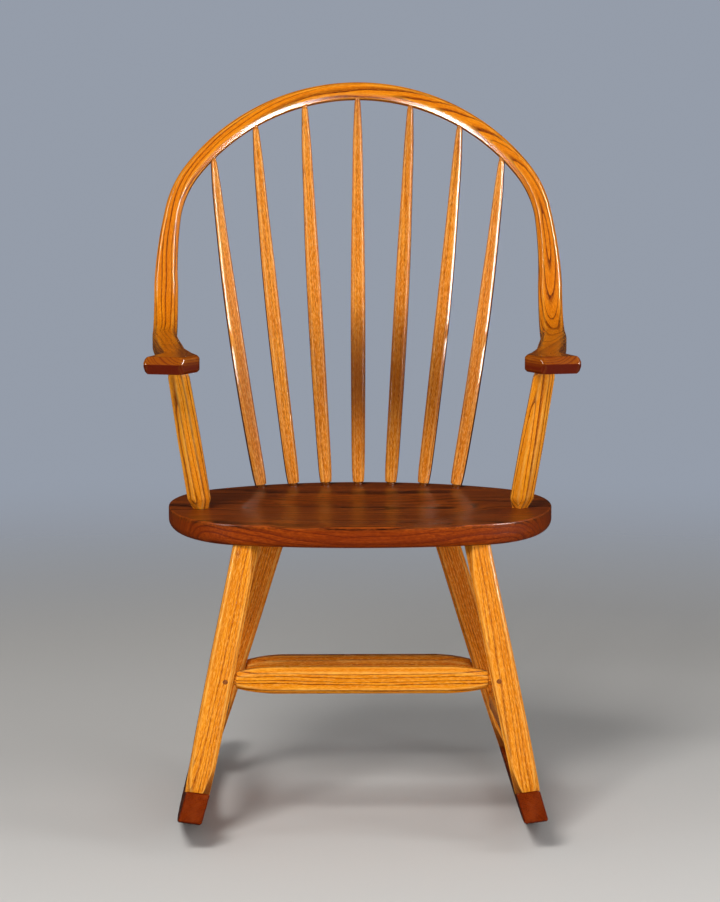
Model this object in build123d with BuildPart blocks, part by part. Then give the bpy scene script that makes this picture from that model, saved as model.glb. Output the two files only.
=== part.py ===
from build123d import *
from math import asin, cos, degrees, radians, sin, sqrt
import os

os.makedirs("parts", exist_ok=True)

# A continuous-arm hoop back rocking chair, in millimetres.
# +Z is up, the chair faces -Y, and +X is the sitter's left. The origin is on the floor,
# below the middle of the rockers' length.

# ---- Driving sizes -------------------------------------------------------------------------

# Fits
glue_gap = 0.12  # between a tenon and its socket, all round
socket_relief = 1.0  # beyond a tenon's end
tenon_root = 6.0  # of a tenon that is buried in its own stick

# Seat
seat_height = 469.0
seat_thickness = 33.0
seat_front_y = -244.0
seat_depth = 464.0
seat_width = 580.0
seat_widest_y = -55.0
seat_front_radius = 640.0
seat_front_run = 185.0  # half the length of the front arc
seat_back_radius = 385.0
seat_back_run = 225.0  # half the length of the back arc
seat_lower_bevel = 9.0
seat_top_bevel = 2.0
front_board_width = 124.0
middle_board_width = 150.0
board_margin = 20.0  # of the sawn boards outside the seat's outline

# Saddle of the seat: a dish with a flat floor, and two thigh hollows in the front edge
dish_depth = 7.0
dish_center_y = -52.0
dish_floor = (135.0, 84.0)  # half width, half depth
dish_foot = (166.0, 111.0)
dish_foot_depth = 5.6
dish_wall = (197.0, 140.0)
dish_wall_depth = 2.6
dish_rim = (218.0, 164.0)
thigh_hollow_x = 95.0
thigh_hollow_radius = 300.0
thigh_hollow_depth = 3.0
thigh_hollow_length = 110.0
thigh_hollow_lead = 30.0  # of the hollow's cutter, in front of the seat

# Rockers
rocker_sole_radius = 1250.0
rocker_height = 46.0
rocker_thickness = 35.0
rocker_contact_y = -10.5
rocker_contact_x = 242.8
rocker_toe_in = 1.2  # degrees
rocker_side_tilt = 16.0  # degrees that the sides lean inward going up
rocker_edge_tilt = 8.0  # degrees that the sole rises outward
rocker_front_reach = 341.0
rocker_rear_reach = 362.0
rocker_edge_bevel = 2.0
rocker_bed_width = 210.0  # of the bed that the legs' feet are scribed to

# Legs
front_leg_top_x = 172.0
front_leg_top_y = -185.0
front_leg_station = -251.5  # of its foot along the rocker, from the contact point
rear_leg_top_x = 124.0
rear_leg_top_y = 66.0
rear_leg_station = 165.5
leg_top_width = 39.0
leg_width = 41.0
leg_ankle_width = 39.5
leg_foot_width = 36.0
leg_bevel = 4.0
leg_foot_bevel = 11.0
leg_inner_bevel = 5.0  # of the inner front edge
leg_inner_top_bevel = 12.0
leg_inner_foot_bevel = 15.0
leg_upper_share = 0.12  # of the way down
leg_full_from = 0.5
leg_full_to = 0.7
leg_ankle_share = 0.9
leg_overrun = 1.06  # past the rocker's top, to be scribed off
leg_top_tenon_radius = 12.0
leg_top_tenon_length = 23.0
leg_foot_tenon_radius = 10.0
leg_foot_tenon_length = 26.0

# Stretchers
front_stretcher_z = 237.0
rear_stretcher_z = 188.0
side_stretcher_front_z = 152.0
side_stretcher_rear_z = 142.0
stretcher_height = 40.0
stretcher_depth = 29.0
stretcher_end_height = 25.0
stretcher_end_depth = 22.0
stretcher_bevel = 7.0
stretcher_half_swell = ((0, 0.0), (0.05, 0.5), (0.1, 0.82), (0.16, 1.0))  # share of the length, of the bulge
side_stretcher_height = 30.0
stretcher_shoulder = 24.5  # from a leg's axis to the shoulder
stretcher_tenon_radius = 8.0
stretcher_tenon_past_axis = 6.0
peg_radius = 4.0
peg_length = 32.0
peg_head = 1.0
peg_inset = 9.0  # inward from the leg's axis

# Dowels through the rockers
dowel_radius = 3.0
dowel_depth = 13.0  # below the rocker's top
dowel_length = 30.0

# Arms and hoop
arm_top_z = 725.0
arm_thickness = 26.0
arm_neck_y = -210.0
arm_neck_x = 270.5
arm_neck_width = 51.0
arm_stations = ((-125.0, 283.5, 43.0), (-46.0, 291.0, 42.0), (30.0, 297.5, 40.0))  # y, middle x, width
bend_start_y = 100.0
bend_width = 37.0
bend_radius = 100.0
hoop_lean = 16.0  # degrees back from upright
hoop_rise = 312.0  # from the top of the bend to the crown, along the hoop
hoop_crown_radius = 330.0
hoop_crown_angle = 52.0  # degrees from the middle to the shoulder
hoop_shoulder_radius = 160.0
hoop_side_angle = 80.0  # degrees from the middle to the end of the shoulder
hoop_width = 26.0
hoop_thickness = 24.0
hoop_bevel = 4.0
hoop_inner_bevel = 6.5
hoop_side_steps = 3  # between the sections of the hoop's side

# Hand-rests, in plan
rest_tip_x = 323.0
rest_tip_y = -269.0
rest_apex_x = 266.0
rest_apex_y = -281.0
rest_inner_x = 239.0
rest_inner_y = -239.0
rest_upper_bevel = 10.0
rest_lower_bevel_height = 15.0
rest_lower_bevel_depth = 10.0
rest_corner_round = 6.0

# Arm posts
post_foot_x = 243.0
post_foot_y = -53.0
post_top_x = 274.0
post_top_y = -172.0
post_width = 35.0
post_upper_width = 32.0
post_end_width = 24.0
post_bevel = 10.0
post_end_bevel = 10.0
post_neck = 16.0  # height over which each end narrows
post_foot_tenon_radius = 9.5
post_foot_tenon_length = 22.0
post_top_tenon_radius = 8.0
post_top_tenon_length = 15.0

# Spindles
spindle_count = 7
spindle_spacing = 51.0
spindle_inset = 29.0  # from the back edge of the seat
spindle_fan = 15.3  # degrees between neighbours at the hoop
spindle_bow = 11.0  # forward, at mid height
spindle_spread = 5.0  # outward, at mid height, on the outermost
spindle_foot_radius = 6.4
spindle_foot_length = 21.0
spindle_top_radius = 4.2
spindle_top_length = 14.0
spindle_neck = 5.0  # of round stick that shows at each end
spindle_thickness = 14.0
spindle_top_thickness = 9.0
spindle_bevel_share = 0.24
spindle_widths = (  # share of the way up, width
    (0, 17.5),
    (0.03, 20.0),
    (0.12, 21.5),
    (0.4, 23.0),
    (0.6, 21.5),
    (0.78, 17.5),
    (0.9, 15.0),
    (0.96, 12.0),
    (1, 9.5),
)

# ---- Derived places ------------------------------------------------------------------------

seat_underside = seat_height - seat_thickness
seat_back_y = seat_front_y + seat_depth
front_joint_y = seat_front_y + front_board_width
rear_joint_y = front_joint_y + middle_board_width
arm_underside_z = arm_top_z - arm_thickness
arm_middle_z = arm_top_z - arm_thickness / 2
bend_turn = 90.0 - hoop_lean
bend_end_y = bend_start_y + bend_radius * sin(radians(bend_turn))
bend_end_z = arm_middle_z + bend_radius * (1 - cos(radians(bend_turn)))
crown_center = hoop_rise - hoop_crown_radius
middle_spindle = spindle_count // 2
stretcher_far_half = tuple((1 - share, swell) for share, swell in reversed(stretcher_half_swell))
stretcher_swell = stretcher_half_swell + stretcher_far_half


def on_circle(radius, angle):
    """Across and up, at an angle from straight up."""
    return radius * sin(radians(angle)), radius * cos(radians(angle))


def back_edge_y(x):
    """The seat's back edge at x, within the back arc."""
    return seat_back_y - seat_back_radius + sqrt(seat_back_radius**2 - x**2)


def square_to(axis, wanted):
    """The direction nearest to wanted that is square to axis."""
    return (wanted - axis * wanted.dot(axis)).normalized()


def plane_along(point, axis, across=Vector(1, 0, 0)):
    """A plane at point whose normal is axis and whose x axis is as near to across as it can be."""
    return Plane(origin=point, x_dir=square_to(axis.normalized(), across), z_dir=axis.normalized())


# ---- Rockers' own frame --------------------------------------------------------------------

rocker_along = Vector(-sin(radians(rocker_toe_in)), cos(radians(rocker_toe_in)), 0)
rocker_up = Vector(-sin(radians(rocker_side_tilt)), 0, cos(radians(rocker_side_tilt)))
rocker_up = square_to(rocker_along, rocker_up)
rocker_out = Vector(cos(radians(rocker_edge_tilt)), 0, sin(radians(rocker_edge_tilt)))
rocker_origin = Vector(rocker_contact_x, rocker_contact_y, 0)
rocker_plane = Plane(origin=rocker_origin, x_dir=rocker_along, z_dir=rocker_along.cross(rocker_up))
rocker_top_radius = rocker_sole_radius - rocker_height


def rocker_point(station, above_sole, outward):
    """A point on the rocker: along it, above its sole, and outward from its inner face."""
    rise = rocker_sole_radius - sqrt(rocker_sole_radius**2 - station**2) + above_sole
    return rocker_origin + rocker_along * station + rocker_up * rise + rocker_out * outward


front_foot = rocker_point(front_leg_station, rocker_height, rocker_thickness / 2)
rear_foot = rocker_point(rear_leg_station, rocker_height, rocker_thickness / 2)
front_top = Vector(front_leg_top_x, front_leg_top_y, seat_underside)
rear_top = Vector(rear_leg_top_x, rear_leg_top_y, seat_underside)
post_foot = Vector(post_foot_x, post_foot_y, seat_height)
post_top = Vector(post_top_x, post_top_y, arm_underside_z)


def at_height(low, high, z):
    """The point of the line from low to high at height z."""
    return low + (high - low) * ((z - low.Z) / (high.Z - low.Z))


def mirrored(point):
    """The same point on the other side of the chair."""
    return Vector(-point.X, point.Y, point.Z)


front_stretcher_end = at_height(front_foot, front_top, front_stretcher_z)
rear_stretcher_end = at_height(rear_foot, rear_top, rear_stretcher_z)
side_stretcher_front = at_height(front_foot, front_top, side_stretcher_front_z)
side_stretcher_rear = at_height(rear_foot, rear_top, side_stretcher_rear_z)


# ---- Tenons, sockets and sticks ------------------------------------------------------------

# A pin is (start point, direction, radius, length). Its socket is the same pin, a little larger.


def pin(start, direction, radius, length):
    """A round pin, as its start point, unit direction, radius and length."""
    return start, direction.normalized(), radius, length


def leg_pins(foot, top):
    """A leg's two tenons: up into the seat, and down into the rocker."""
    up = (top - foot).normalized()
    upper = pin(top - up * tenon_root, up, leg_top_tenon_radius, leg_top_tenon_length + tenon_root)
    lower = pin(foot + up * tenon_root, -up, leg_foot_tenon_radius, leg_foot_tenon_length + tenon_root)
    return upper, lower


def stretcher_pins(start, end):
    """A stretcher's two tenons, each a little past the axis of its leg."""
    along = (end - start).normalized()
    length = stretcher_shoulder + stretcher_tenon_past_axis + tenon_root
    inset = stretcher_shoulder + tenon_root
    first = pin(start + along * inset, -along, stretcher_tenon_radius, length)
    last = pin(end - along * inset, along, stretcher_tenon_radius, length)
    return first, last


def round_stick(one):
    """The solid of a pin."""
    start, direction, radius, length = one
    with BuildPart(mode=Mode.PRIVATE) as tenon:
        with BuildSketch(Plane(origin=start, z_dir=direction)):
            Circle(radius)
        extrude(amount=length)
    return tenon.part


def socket(one):
    """The hole that a pin is glued in."""
    start, direction, radius, length = one
    return round_stick(pin(start, direction, radius + glue_gap, length + socket_relief))


def bevelled_corners(width, depth, bevel, inner_bevel=None):
    """The corners of a bevelled rectangle, with the bevel at -x, -y set by itself."""
    x = width / 2
    y = depth / 2
    b = bevel
    i = bevel if inner_bevel is None else inner_bevel
    outer = [(x - b, -y), (x, -y + b), (x, y - b), (x - b, y)]
    return [(-x + i, -y), *outer, (-x + b, y), (-x, y - b), (-x, -y + i)]


def stick(sections, pins, sockets=()):
    """A shaved stick lofted through bevelled sections, with its tenons and its sockets.

    sections is [(plane, width, depth, bevel)].
    """
    with BuildPart() as body:
        for plane, width, depth, bevel in sections:
            with BuildSketch(plane):
                Polygon(*bevelled_corners(width, depth, bevel), align=None)
        loft(ruled=True)
        for one in pins:
            add(round_stick(one))
        for one in sockets:
            add(socket(one), mode=Mode.SUBTRACT)
    return body


def other_side(body):
    """The same piece for the other side of the chair."""
    with BuildPart() as twin:
        mirror(body.part, about=Plane.YZ)
    return twin


def save(body, name):
    """Labels a finished piece and writes its file."""
    body.part.label = name
    export_step(body.part, f"parts/{name}.step")


# ---- Every pin of the chair ----------------------------------------------------------------

front_leg_pins = leg_pins(front_foot, front_top)
rear_leg_pins = leg_pins(rear_foot, rear_top)
front_stretcher_pins = stretcher_pins(mirrored(front_stretcher_end), front_stretcher_end)
rear_stretcher_pins = stretcher_pins(mirrored(rear_stretcher_end), rear_stretcher_end)
side_stretcher_pins = stretcher_pins(side_stretcher_front, side_stretcher_rear)

post_up = (post_top - post_foot).normalized()
post_foot_pin = pin(
    post_foot + post_up * tenon_root, -post_up, post_foot_tenon_radius, post_foot_tenon_length + tenon_root
)
post_top_pin = pin(
    post_top - post_up * tenon_root, post_up, post_top_tenon_radius, post_top_tenon_length + tenon_root
)

front_peg_start = front_stretcher_end + Vector(-peg_inset, -leg_width / 2 - peg_head, 0)
front_peg = pin(front_peg_start, Vector(0, 1, 0), peg_radius, peg_length)
rear_peg_start = rear_stretcher_end + Vector(-peg_inset, leg_width / 2 + peg_head, 0)
rear_peg = pin(rear_peg_start, Vector(0, -1, 0), peg_radius, peg_length)


def rocker_dowel(station):
    """The dowel that holds a leg's lower tenon, from the rocker's outer face inward."""
    start = rocker_point(station, rocker_height - dowel_depth, rocker_thickness)
    return pin(start, -rocker_out, dowel_radius, dowel_length)


dowels = [rocker_dowel(front_leg_station), rocker_dowel(rear_leg_station)]


def hoop_point(across, rise):
    """A point of the hoop's middle surface, rise above the top of the bend."""
    lean = radians(hoop_lean)
    return Vector(across, bend_end_y + rise * sin(lean), bend_end_z + rise * cos(lean))


def spindle_point(index, share):
    """The middle of a spindle, from the seat (share 0) to the hoop's inner face (share 1)."""
    offset = index - middle_spindle
    base_x = offset * spindle_spacing
    base = Vector(base_x, back_edge_y(base_x) - spindle_inset, seat_height)
    across, up = on_circle(hoop_crown_radius - hoop_width / 2, offset * spindle_fan)
    tip = hoop_point(across, crown_center + up)
    outward = spindle_spread * offset / middle_spindle
    bow = Vector(outward, -spindle_bow, 0) * (4 * share * (1 - share))
    return base + (tip - base) * share + bow


def spindle_direction(index, share):
    """The way a spindle runs at a share of its length."""
    step = 0.001
    low = spindle_point(index, max(0, share - step))
    high = spindle_point(index, min(1, share + step))
    return (high - low).normalized()


def spindle_pins(index):
    """A spindle's two round ends."""
    up_foot = spindle_direction(index, 0)
    up_top = spindle_direction(index, 1)
    root = spindle_neck + tenon_root
    foot = spindle_point(index, 0) + up_foot * root
    top = spindle_point(index, 1) - up_top * root
    lower = pin(foot, -up_foot, spindle_foot_radius, spindle_foot_length + root)
    upper = pin(top, up_top, spindle_top_radius, spindle_top_length + root)
    return lower, upper


# ---- Seat ----------------------------------------------------------------------------------

front_arc_end_y = seat_front_y + seat_front_radius - sqrt(seat_front_radius**2 - seat_front_run**2)
front_arc_angle = asin(seat_front_run / seat_front_radius)
back_arc_angle = asin(seat_back_run / seat_back_radius)
side_start = (seat_front_run, front_arc_end_y)
side_middle = (seat_width / 2, seat_widest_y)
side_end = (seat_back_run, back_edge_y(seat_back_run))

with BuildPart() as seat_blank:
    with BuildSketch(Plane.XY.offset(seat_underside)):
        with BuildLine():
            ThreePointArc((-seat_front_run, front_arc_end_y), (0, seat_front_y), side_start)
            side = Spline(
                side_start,
                side_middle,
                side_end,
                tangents=[
                    (cos(front_arc_angle), sin(front_arc_angle)),
                    (-cos(back_arc_angle), sin(back_arc_angle)),
                ],
            )
            mirror(side, about=Plane.YZ)
            ThreePointArc(side_end, (0, seat_back_y), (-seat_back_run, back_edge_y(seat_back_run)))
        make_face()
    extrude(amount=seat_thickness)
    chamfer(seat_blank.faces().sort_by(Axis.Z)[0].edges(), seat_lower_bevel)
    chamfer(seat_blank.faces().sort_by(Axis.Z)[-1].edges(), seat_top_bevel)

dish_shape = (
    (dish_depth, dish_floor),
    (dish_foot_depth, dish_foot),
    (dish_wall_depth, dish_wall),
    (0, dish_rim),
)

with BuildPart() as dish:
    for drop, half_size in dish_shape:
        with BuildSketch(Plane(origin=(0, dish_center_y, seat_height - drop))):
            Ellipse(*half_size)
    loft(ruled=True)

with BuildPart() as thigh_hollow:
    hollow_plane = Plane(origin=(0, seat_front_y, 0), x_dir=(1, 0, 0), z_dir=(0, -1, 0))
    with BuildSketch(hollow_plane.offset(thigh_hollow_lead)):
        hollow_center = seat_height + thigh_hollow_radius - thigh_hollow_depth
        with Locations((-thigh_hollow_x, hollow_center), (thigh_hollow_x, hollow_center)):
            Circle(thigh_hollow_radius)
    extrude(amount=-thigh_hollow_length - thigh_hollow_lead)


def seat_board(name, low_y, high_y, pins):
    """Makes and saves one board of the seat, from y to y, with the sockets that lie in it."""
    with BuildPart() as board:
        with BuildSketch(Plane.XY.offset(seat_underside)):
            with Locations((0, (low_y + high_y) / 2)):
                Rectangle(seat_width + 2 * board_margin, high_y - low_y)
        extrude(amount=seat_thickness)
        add(seat_blank.part, mode=Mode.INTERSECT)
        add(dish.part, mode=Mode.SUBTRACT)
        add(thigh_hollow.part, mode=Mode.SUBTRACT)
        for one in pins:
            add(socket(one), mode=Mode.SUBTRACT)
    save(board, name)


def both_sides(pins):
    """Pins on the left, and the same on the right."""
    return pins + [(mirrored(s), mirrored(d), r, length) for s, d, r, length in pins]


seat_board("seat_board_front", seat_front_y - board_margin, front_joint_y, both_sides([front_leg_pins[0]]))
seat_board("seat_board_middle", front_joint_y, rear_joint_y, both_sides([post_foot_pin]))
rear_board_pins = both_sides([rear_leg_pins[0]]) + [spindle_pins(index)[0] for index in range(spindle_count)]
seat_board("seat_board_rear", rear_joint_y, seat_back_y + board_margin, rear_board_pins)

# ---- Rockers -------------------------------------------------------------------------------

rocker_front_turn = degrees(asin(rocker_front_reach / rocker_sole_radius))
rocker_rear_turn = degrees(asin(rocker_rear_reach / rocker_sole_radius))


def rocker_arc_point(radius, turn):
    """A point of the rocker's profile, at a turn back from the contact point."""
    return radius * sin(radians(turn)), rocker_sole_radius - radius * cos(radians(turn))


with BuildPart() as rocker_left:
    with BuildSketch(rocker_plane):
        with BuildLine():
            sole_front = rocker_arc_point(rocker_sole_radius, -rocker_front_turn)
            sole_rear = rocker_arc_point(rocker_sole_radius, rocker_rear_turn)
            top_front = rocker_arc_point(rocker_top_radius, -rocker_front_turn)
            top_rear = rocker_arc_point(rocker_top_radius, rocker_rear_turn)
            ThreePointArc(sole_front, (0, 0), sole_rear)
            Line(sole_rear, top_rear)
            ThreePointArc(top_rear, (0, rocker_height), top_front)
            Line(top_front, sole_front)
        make_face()
    extrude(amount=rocker_thickness, dir=rocker_out)
    chamfer(rocker_left.edges(), rocker_edge_bevel)
    for one in (front_leg_pins[1], rear_leg_pins[1], *dowels):
        add(socket(one), mode=Mode.SUBTRACT)
save(rocker_left, "rocker_left")
save(other_side(rocker_left), "rocker_right")

# Everything below the rocker's top, to which the legs' feet are scribed
with BuildPart() as rocker_bed:
    with BuildSketch(rocker_plane):
        with BuildLine():
            bed_front = rocker_arc_point(rocker_top_radius, -rocker_front_turn)
            bed_rear = rocker_arc_point(rocker_top_radius, rocker_rear_turn)
            bed_depth = -rocker_height
            ThreePointArc(bed_front, (0, rocker_height), bed_rear)
            Polyline(bed_rear, (bed_rear[0], bed_depth), (bed_front[0], bed_depth), bed_front)
        make_face()
    extrude(amount=rocker_bed_width / 2, dir=rocker_out, both=True)

# ---- Legs ----------------------------------------------------------------------------------

# Share of the way down, width, bevel and inner front bevel
leg_shape = (
    (0, leg_top_width, leg_bevel, leg_inner_top_bevel),
    (leg_upper_share, leg_top_width, leg_bevel, leg_inner_bevel),
    (leg_full_from, leg_width, leg_bevel, leg_inner_bevel),
    (leg_full_to, leg_width, leg_bevel, leg_inner_bevel),
    (leg_ankle_share, leg_ankle_width, leg_bevel, leg_inner_bevel),
    (leg_overrun, leg_foot_width, leg_foot_bevel, leg_inner_foot_bevel),
)


def leg(foot, top, pins, sockets):
    """A leg with level sections, its foot scribed to the rocker."""
    with BuildPart() as body:
        for share, width, bevel, inner_bevel in leg_shape:
            with BuildSketch(Plane(origin=top + (foot - top) * share)):
                Polygon(*bevelled_corners(width, width, bevel, inner_bevel), align=None)
        loft(ruled=True)
        add(rocker_bed.part, mode=Mode.SUBTRACT)
        for one in pins:
            add(round_stick(one))
        for one in sockets:
            add(socket(one), mode=Mode.SUBTRACT)
    return body


leg_front_left = leg(
    front_foot,
    front_top,
    front_leg_pins,
    [front_stretcher_pins[1], side_stretcher_pins[0], front_peg, dowels[0]],
)
leg_rear_left = leg(
    rear_foot, rear_top, rear_leg_pins, [rear_stretcher_pins[1], side_stretcher_pins[1], rear_peg, dowels[1]]
)
save(leg_front_left, "leg_front_left")
save(other_side(leg_front_left), "leg_front_right")
save(leg_rear_left, "leg_rear_left")
save(other_side(leg_rear_left), "leg_rear_right")

# ---- Stretchers ----------------------------------------------------------------------------


def stretcher(start, end, pins, height, sockets):
    """A bulged, bevelled stretcher between two leg axes."""
    along = (end - start).normalized()
    first = start + along * stretcher_shoulder
    last = end - along * stretcher_shoulder
    sections = []
    for share, swell in stretcher_swell:
        plane = plane_along(first + (last - first) * share, along, Vector(0, 0, 1))
        tall = stretcher_end_height + (height - stretcher_end_height) * swell
        deep = stretcher_end_depth + (stretcher_depth - stretcher_end_depth) * swell
        sections.append((plane, tall, deep, stretcher_bevel))
    return stick(sections, pins, sockets)


front_stretcher = stretcher(
    mirrored(front_stretcher_end),
    front_stretcher_end,
    front_stretcher_pins,
    stretcher_height,
    both_sides([front_peg]),
)
rear_stretcher = stretcher(
    mirrored(rear_stretcher_end),
    rear_stretcher_end,
    rear_stretcher_pins,
    stretcher_height,
    both_sides([rear_peg]),
)
side_stretcher_left = stretcher(
    side_stretcher_front, side_stretcher_rear, side_stretcher_pins, side_stretcher_height, []
)
save(front_stretcher, "front_stretcher")
save(rear_stretcher, "rear_stretcher")
save(side_stretcher_left, "side_stretcher_left")
save(other_side(side_stretcher_left), "side_stretcher_right")

with BuildPart() as stretcher_pegs:
    for one in both_sides([front_peg, rear_peg]):
        add(round_stick(one))
save(stretcher_pegs, "stretcher_pegs")

with BuildPart() as rocker_dowels:
    for one in both_sides(dowels):
        add(round_stick(one))
save(rocker_dowels, "rocker_dowels")

# ---- Arm posts -----------------------------------------------------------------------------

post_height = post_top.Z - post_foot.Z
post_shape = (
    (0, post_end_width, post_end_bevel),
    (post_neck, post_width, post_bevel),
    (post_height / 2, post_width, post_bevel),
    (post_height - post_neck, post_upper_width, post_bevel),
    (post_height, post_end_width, post_end_bevel),
)
post_sections = []
for rise, width, bevel in post_shape:
    station = at_height(post_foot, post_top, post_foot.Z + rise)
    post_sections.append((Plane(origin=station), width, width, bevel))
arm_post_left = stick(post_sections, [post_foot_pin, post_top_pin])
save(arm_post_left, "arm_post_left")
save(other_side(arm_post_left), "arm_post_right")

# ---- Spindles ------------------------------------------------------------------------------

for index in range(spindle_count):
    base_x = (index - middle_spindle) * spindle_spacing
    facing = asin(base_x / seat_back_radius)
    length = (spindle_point(index, 1) - spindle_point(index, 0)).length
    neck_share = spindle_neck / length
    sections = []
    for share, width in spindle_widths:
        inner_share = neck_share + share * (1 - 2 * neck_share)
        place = spindle_point(index, inner_share)
        across = Vector(cos(facing), -sin(facing), 0)
        plane = plane_along(place, spindle_direction(index, inner_share), across)
        thickness = spindle_thickness + (spindle_top_thickness - spindle_thickness) * share
        sections.append((plane, width, thickness, spindle_bevel_share * thickness))
    save(stick(sections, spindle_pins(index)), f"spindle_{index + 1}")

# ---- Hoop and arms -------------------------------------------------------------------------

# Three arcs make the hoop, from its middle down: the crown, the tighter shoulder, and the side,
# which is upright where it meets the bend. The bend is an arc too, and the arm runs on from it.
shoulder_center = on_circle(hoop_crown_radius - hoop_shoulder_radius, hoop_crown_angle)
shoulder_center = (shoulder_center[0], shoulder_center[1] + crown_center)
shoulder_end = on_circle(hoop_shoulder_radius, hoop_side_angle)
side_radius = (shoulder_center[1] + shoulder_end[1]) / cos(radians(hoop_side_angle))
side_center_x = shoulder_center[0] + shoulder_end[0] - side_radius * sin(radians(hoop_side_angle))
bend_x = side_center_x + side_radius
hoop_normal = Vector(0, cos(radians(hoop_lean)), -sin(radians(hoop_lean)))


def hoop_plane(center_x, center_rise, radius, angle):
    """A section plane of the hoop, square to its run, with x pointing out of the hoop."""
    across, up = on_circle(radius, angle)
    lean = radians(hoop_lean)
    turn = radians(angle)
    out = Vector(sin(turn), cos(turn) * sin(lean), cos(turn) * cos(lean))
    middle = hoop_point(center_x + across, center_rise + up)
    return Plane(origin=middle, x_dir=out, z_dir=hoop_normal.cross(out) * -1)


def hoop_section(width, thickness):
    """The corners of the hoop's and the arm's section, with its broad inner front bevel."""
    return bevelled_corners(width, thickness, hoop_bevel, hoop_inner_bevel)


def arm_plane(x, y):
    """An upright section plane of the arm."""
    return Plane(origin=(x, y, arm_middle_z), x_dir=(1, 0, 0), z_dir=(0, 1, 0))


with BuildPart() as half_hoop:
    with BuildSketch(hoop_plane(0, crown_center, hoop_crown_radius, 0)):
        Polygon(*hoop_section(hoop_width, hoop_thickness), align=None)
    revolve(axis=Axis(hoop_point(0, crown_center), hoop_normal), revolution_arc=hoop_crown_angle)
    with BuildSketch(hoop_plane(0, crown_center, hoop_crown_radius, hoop_crown_angle)):
        Polygon(*hoop_section(hoop_width, hoop_thickness), align=None)
    shoulder_axis = Axis(hoop_point(*shoulder_center), hoop_normal)
    revolve(axis=shoulder_axis, revolution_arc=hoop_side_angle - hoop_crown_angle)
    for step in range(hoop_side_steps + 1):
        share = step / hoop_side_steps
        angle = hoop_side_angle + (90 - hoop_side_angle) * share
        with BuildSketch(hoop_plane(side_center_x, 0, side_radius, angle)):
            width = hoop_width + (bend_width - hoop_width) * share
            thickness = hoop_thickness + (arm_thickness - hoop_thickness) * share
            Polygon(*hoop_section(width, thickness), align=None)
    loft()
    with BuildSketch(arm_plane(bend_x, bend_start_y)):
        Polygon(*hoop_section(bend_width, arm_thickness), align=None)
    bend_axis = Axis((bend_x, bend_start_y, arm_middle_z + bend_radius), (1, 0, 0))
    revolve(axis=bend_axis, revolution_arc=bend_turn)
    neck_station = (arm_neck_y, arm_neck_x, arm_neck_width)
    for y, x, width in (neck_station, *arm_stations, (bend_start_y, bend_x, bend_width)):
        with BuildSketch(arm_plane(x, y)):
            Polygon(*hoop_section(width, arm_thickness), align=None)
    loft()

rest_tip = Vector(rest_tip_x, rest_tip_y, arm_underside_z)
rest_apex = Vector(rest_apex_x, rest_apex_y, arm_underside_z)
rest_front = (rest_tip - rest_apex).normalized().cross(Vector(0, 0, 1))
rest_length = rest_tip_x - rest_inner_x

with BuildPart() as hand_rest:
    with BuildSketch(Plane.XY.offset(arm_underside_z)) as rest_plan:
        neck_half = arm_neck_width / 2
        with BuildLine():
            Polyline(
                (arm_neck_x + neck_half, arm_neck_y),
                (rest_tip_x, rest_tip_y),
                (rest_apex_x, rest_apex_y),
                (rest_inner_x, rest_inner_y),
                (arm_neck_x - neck_half, arm_neck_y),
                close=True,
            )
        make_face()
        fillet(rest_plan.vertices().sort_by(Axis.X)[-1], rest_corner_round)
    extrude(amount=arm_thickness)
    side_edges = hand_rest.edges().filter_by(GeomType.LINE).filter_by(Plane.XY)
    rest_edges = side_edges.filter_by_position(Axis.Y, rest_tip_y, arm_neck_y, inclusive=(False, False))
    chamfer(rest_edges, hoop_bevel)
    # The front's upper and lower bevels, cut along it from end to end
    with BuildSketch(Plane(origin=rest_apex, x_dir=rest_front, z_dir=rest_front.cross(Vector(0, 0, 1)))):
        upper = arm_thickness - rest_upper_bevel
        Polygon((0, arm_thickness), (-rest_upper_bevel, arm_thickness), (0, upper), align=None)
        Polygon((0, 0), (0, rest_lower_bevel_height), (-rest_lower_bevel_depth, 0), align=None)
    extrude(amount=2 * rest_length, both=True, mode=Mode.SUBTRACT)

with BuildPart() as hoop_arm:
    add(half_hoop.part)
    add(hand_rest.part)
    mirror(about=Plane.YZ)
    for one in both_sides([post_top_pin]):
        add(socket(one), mode=Mode.SUBTRACT)
    for index in range(spindle_count):
        add(socket(spindle_pins(index)[1]), mode=Mode.SUBTRACT)
save(hoop_arm, "hoop_arm")
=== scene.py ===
"""The finished look of a hoop back rocking chair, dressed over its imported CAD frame.

Every length is in metres, in the frame's own axes: +Z is up, the chair faces -Y, and +X is the
sitter's left. Each wooden piece is a mesh of its own with eased arrises. Its points carry their
place in the log that the piece was sawn from, so that the figure follows every bend and taper.
"""

import logging
from abc import ABC, abstractmethod
from contextlib import contextmanager
from dataclasses import dataclass, replace
from enum import Enum
from math import cos, pi, radians, sin, sqrt, tan
from typing import Iterator, Optional, Sequence, Union

import bmesh
import bpy
import numpy as np
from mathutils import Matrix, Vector


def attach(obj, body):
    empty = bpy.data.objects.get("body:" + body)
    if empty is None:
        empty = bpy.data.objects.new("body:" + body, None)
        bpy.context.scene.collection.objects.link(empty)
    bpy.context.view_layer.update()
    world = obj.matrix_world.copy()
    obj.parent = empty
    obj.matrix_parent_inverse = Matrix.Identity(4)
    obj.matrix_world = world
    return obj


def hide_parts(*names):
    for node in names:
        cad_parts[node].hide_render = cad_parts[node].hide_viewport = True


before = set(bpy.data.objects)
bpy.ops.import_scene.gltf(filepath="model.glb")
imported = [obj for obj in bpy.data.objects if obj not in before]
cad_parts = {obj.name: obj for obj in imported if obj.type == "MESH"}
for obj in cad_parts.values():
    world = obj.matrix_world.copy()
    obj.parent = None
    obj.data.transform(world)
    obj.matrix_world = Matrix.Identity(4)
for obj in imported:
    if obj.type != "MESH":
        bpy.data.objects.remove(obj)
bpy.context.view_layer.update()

log = logging.getLogger("rocking_chair")

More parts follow.
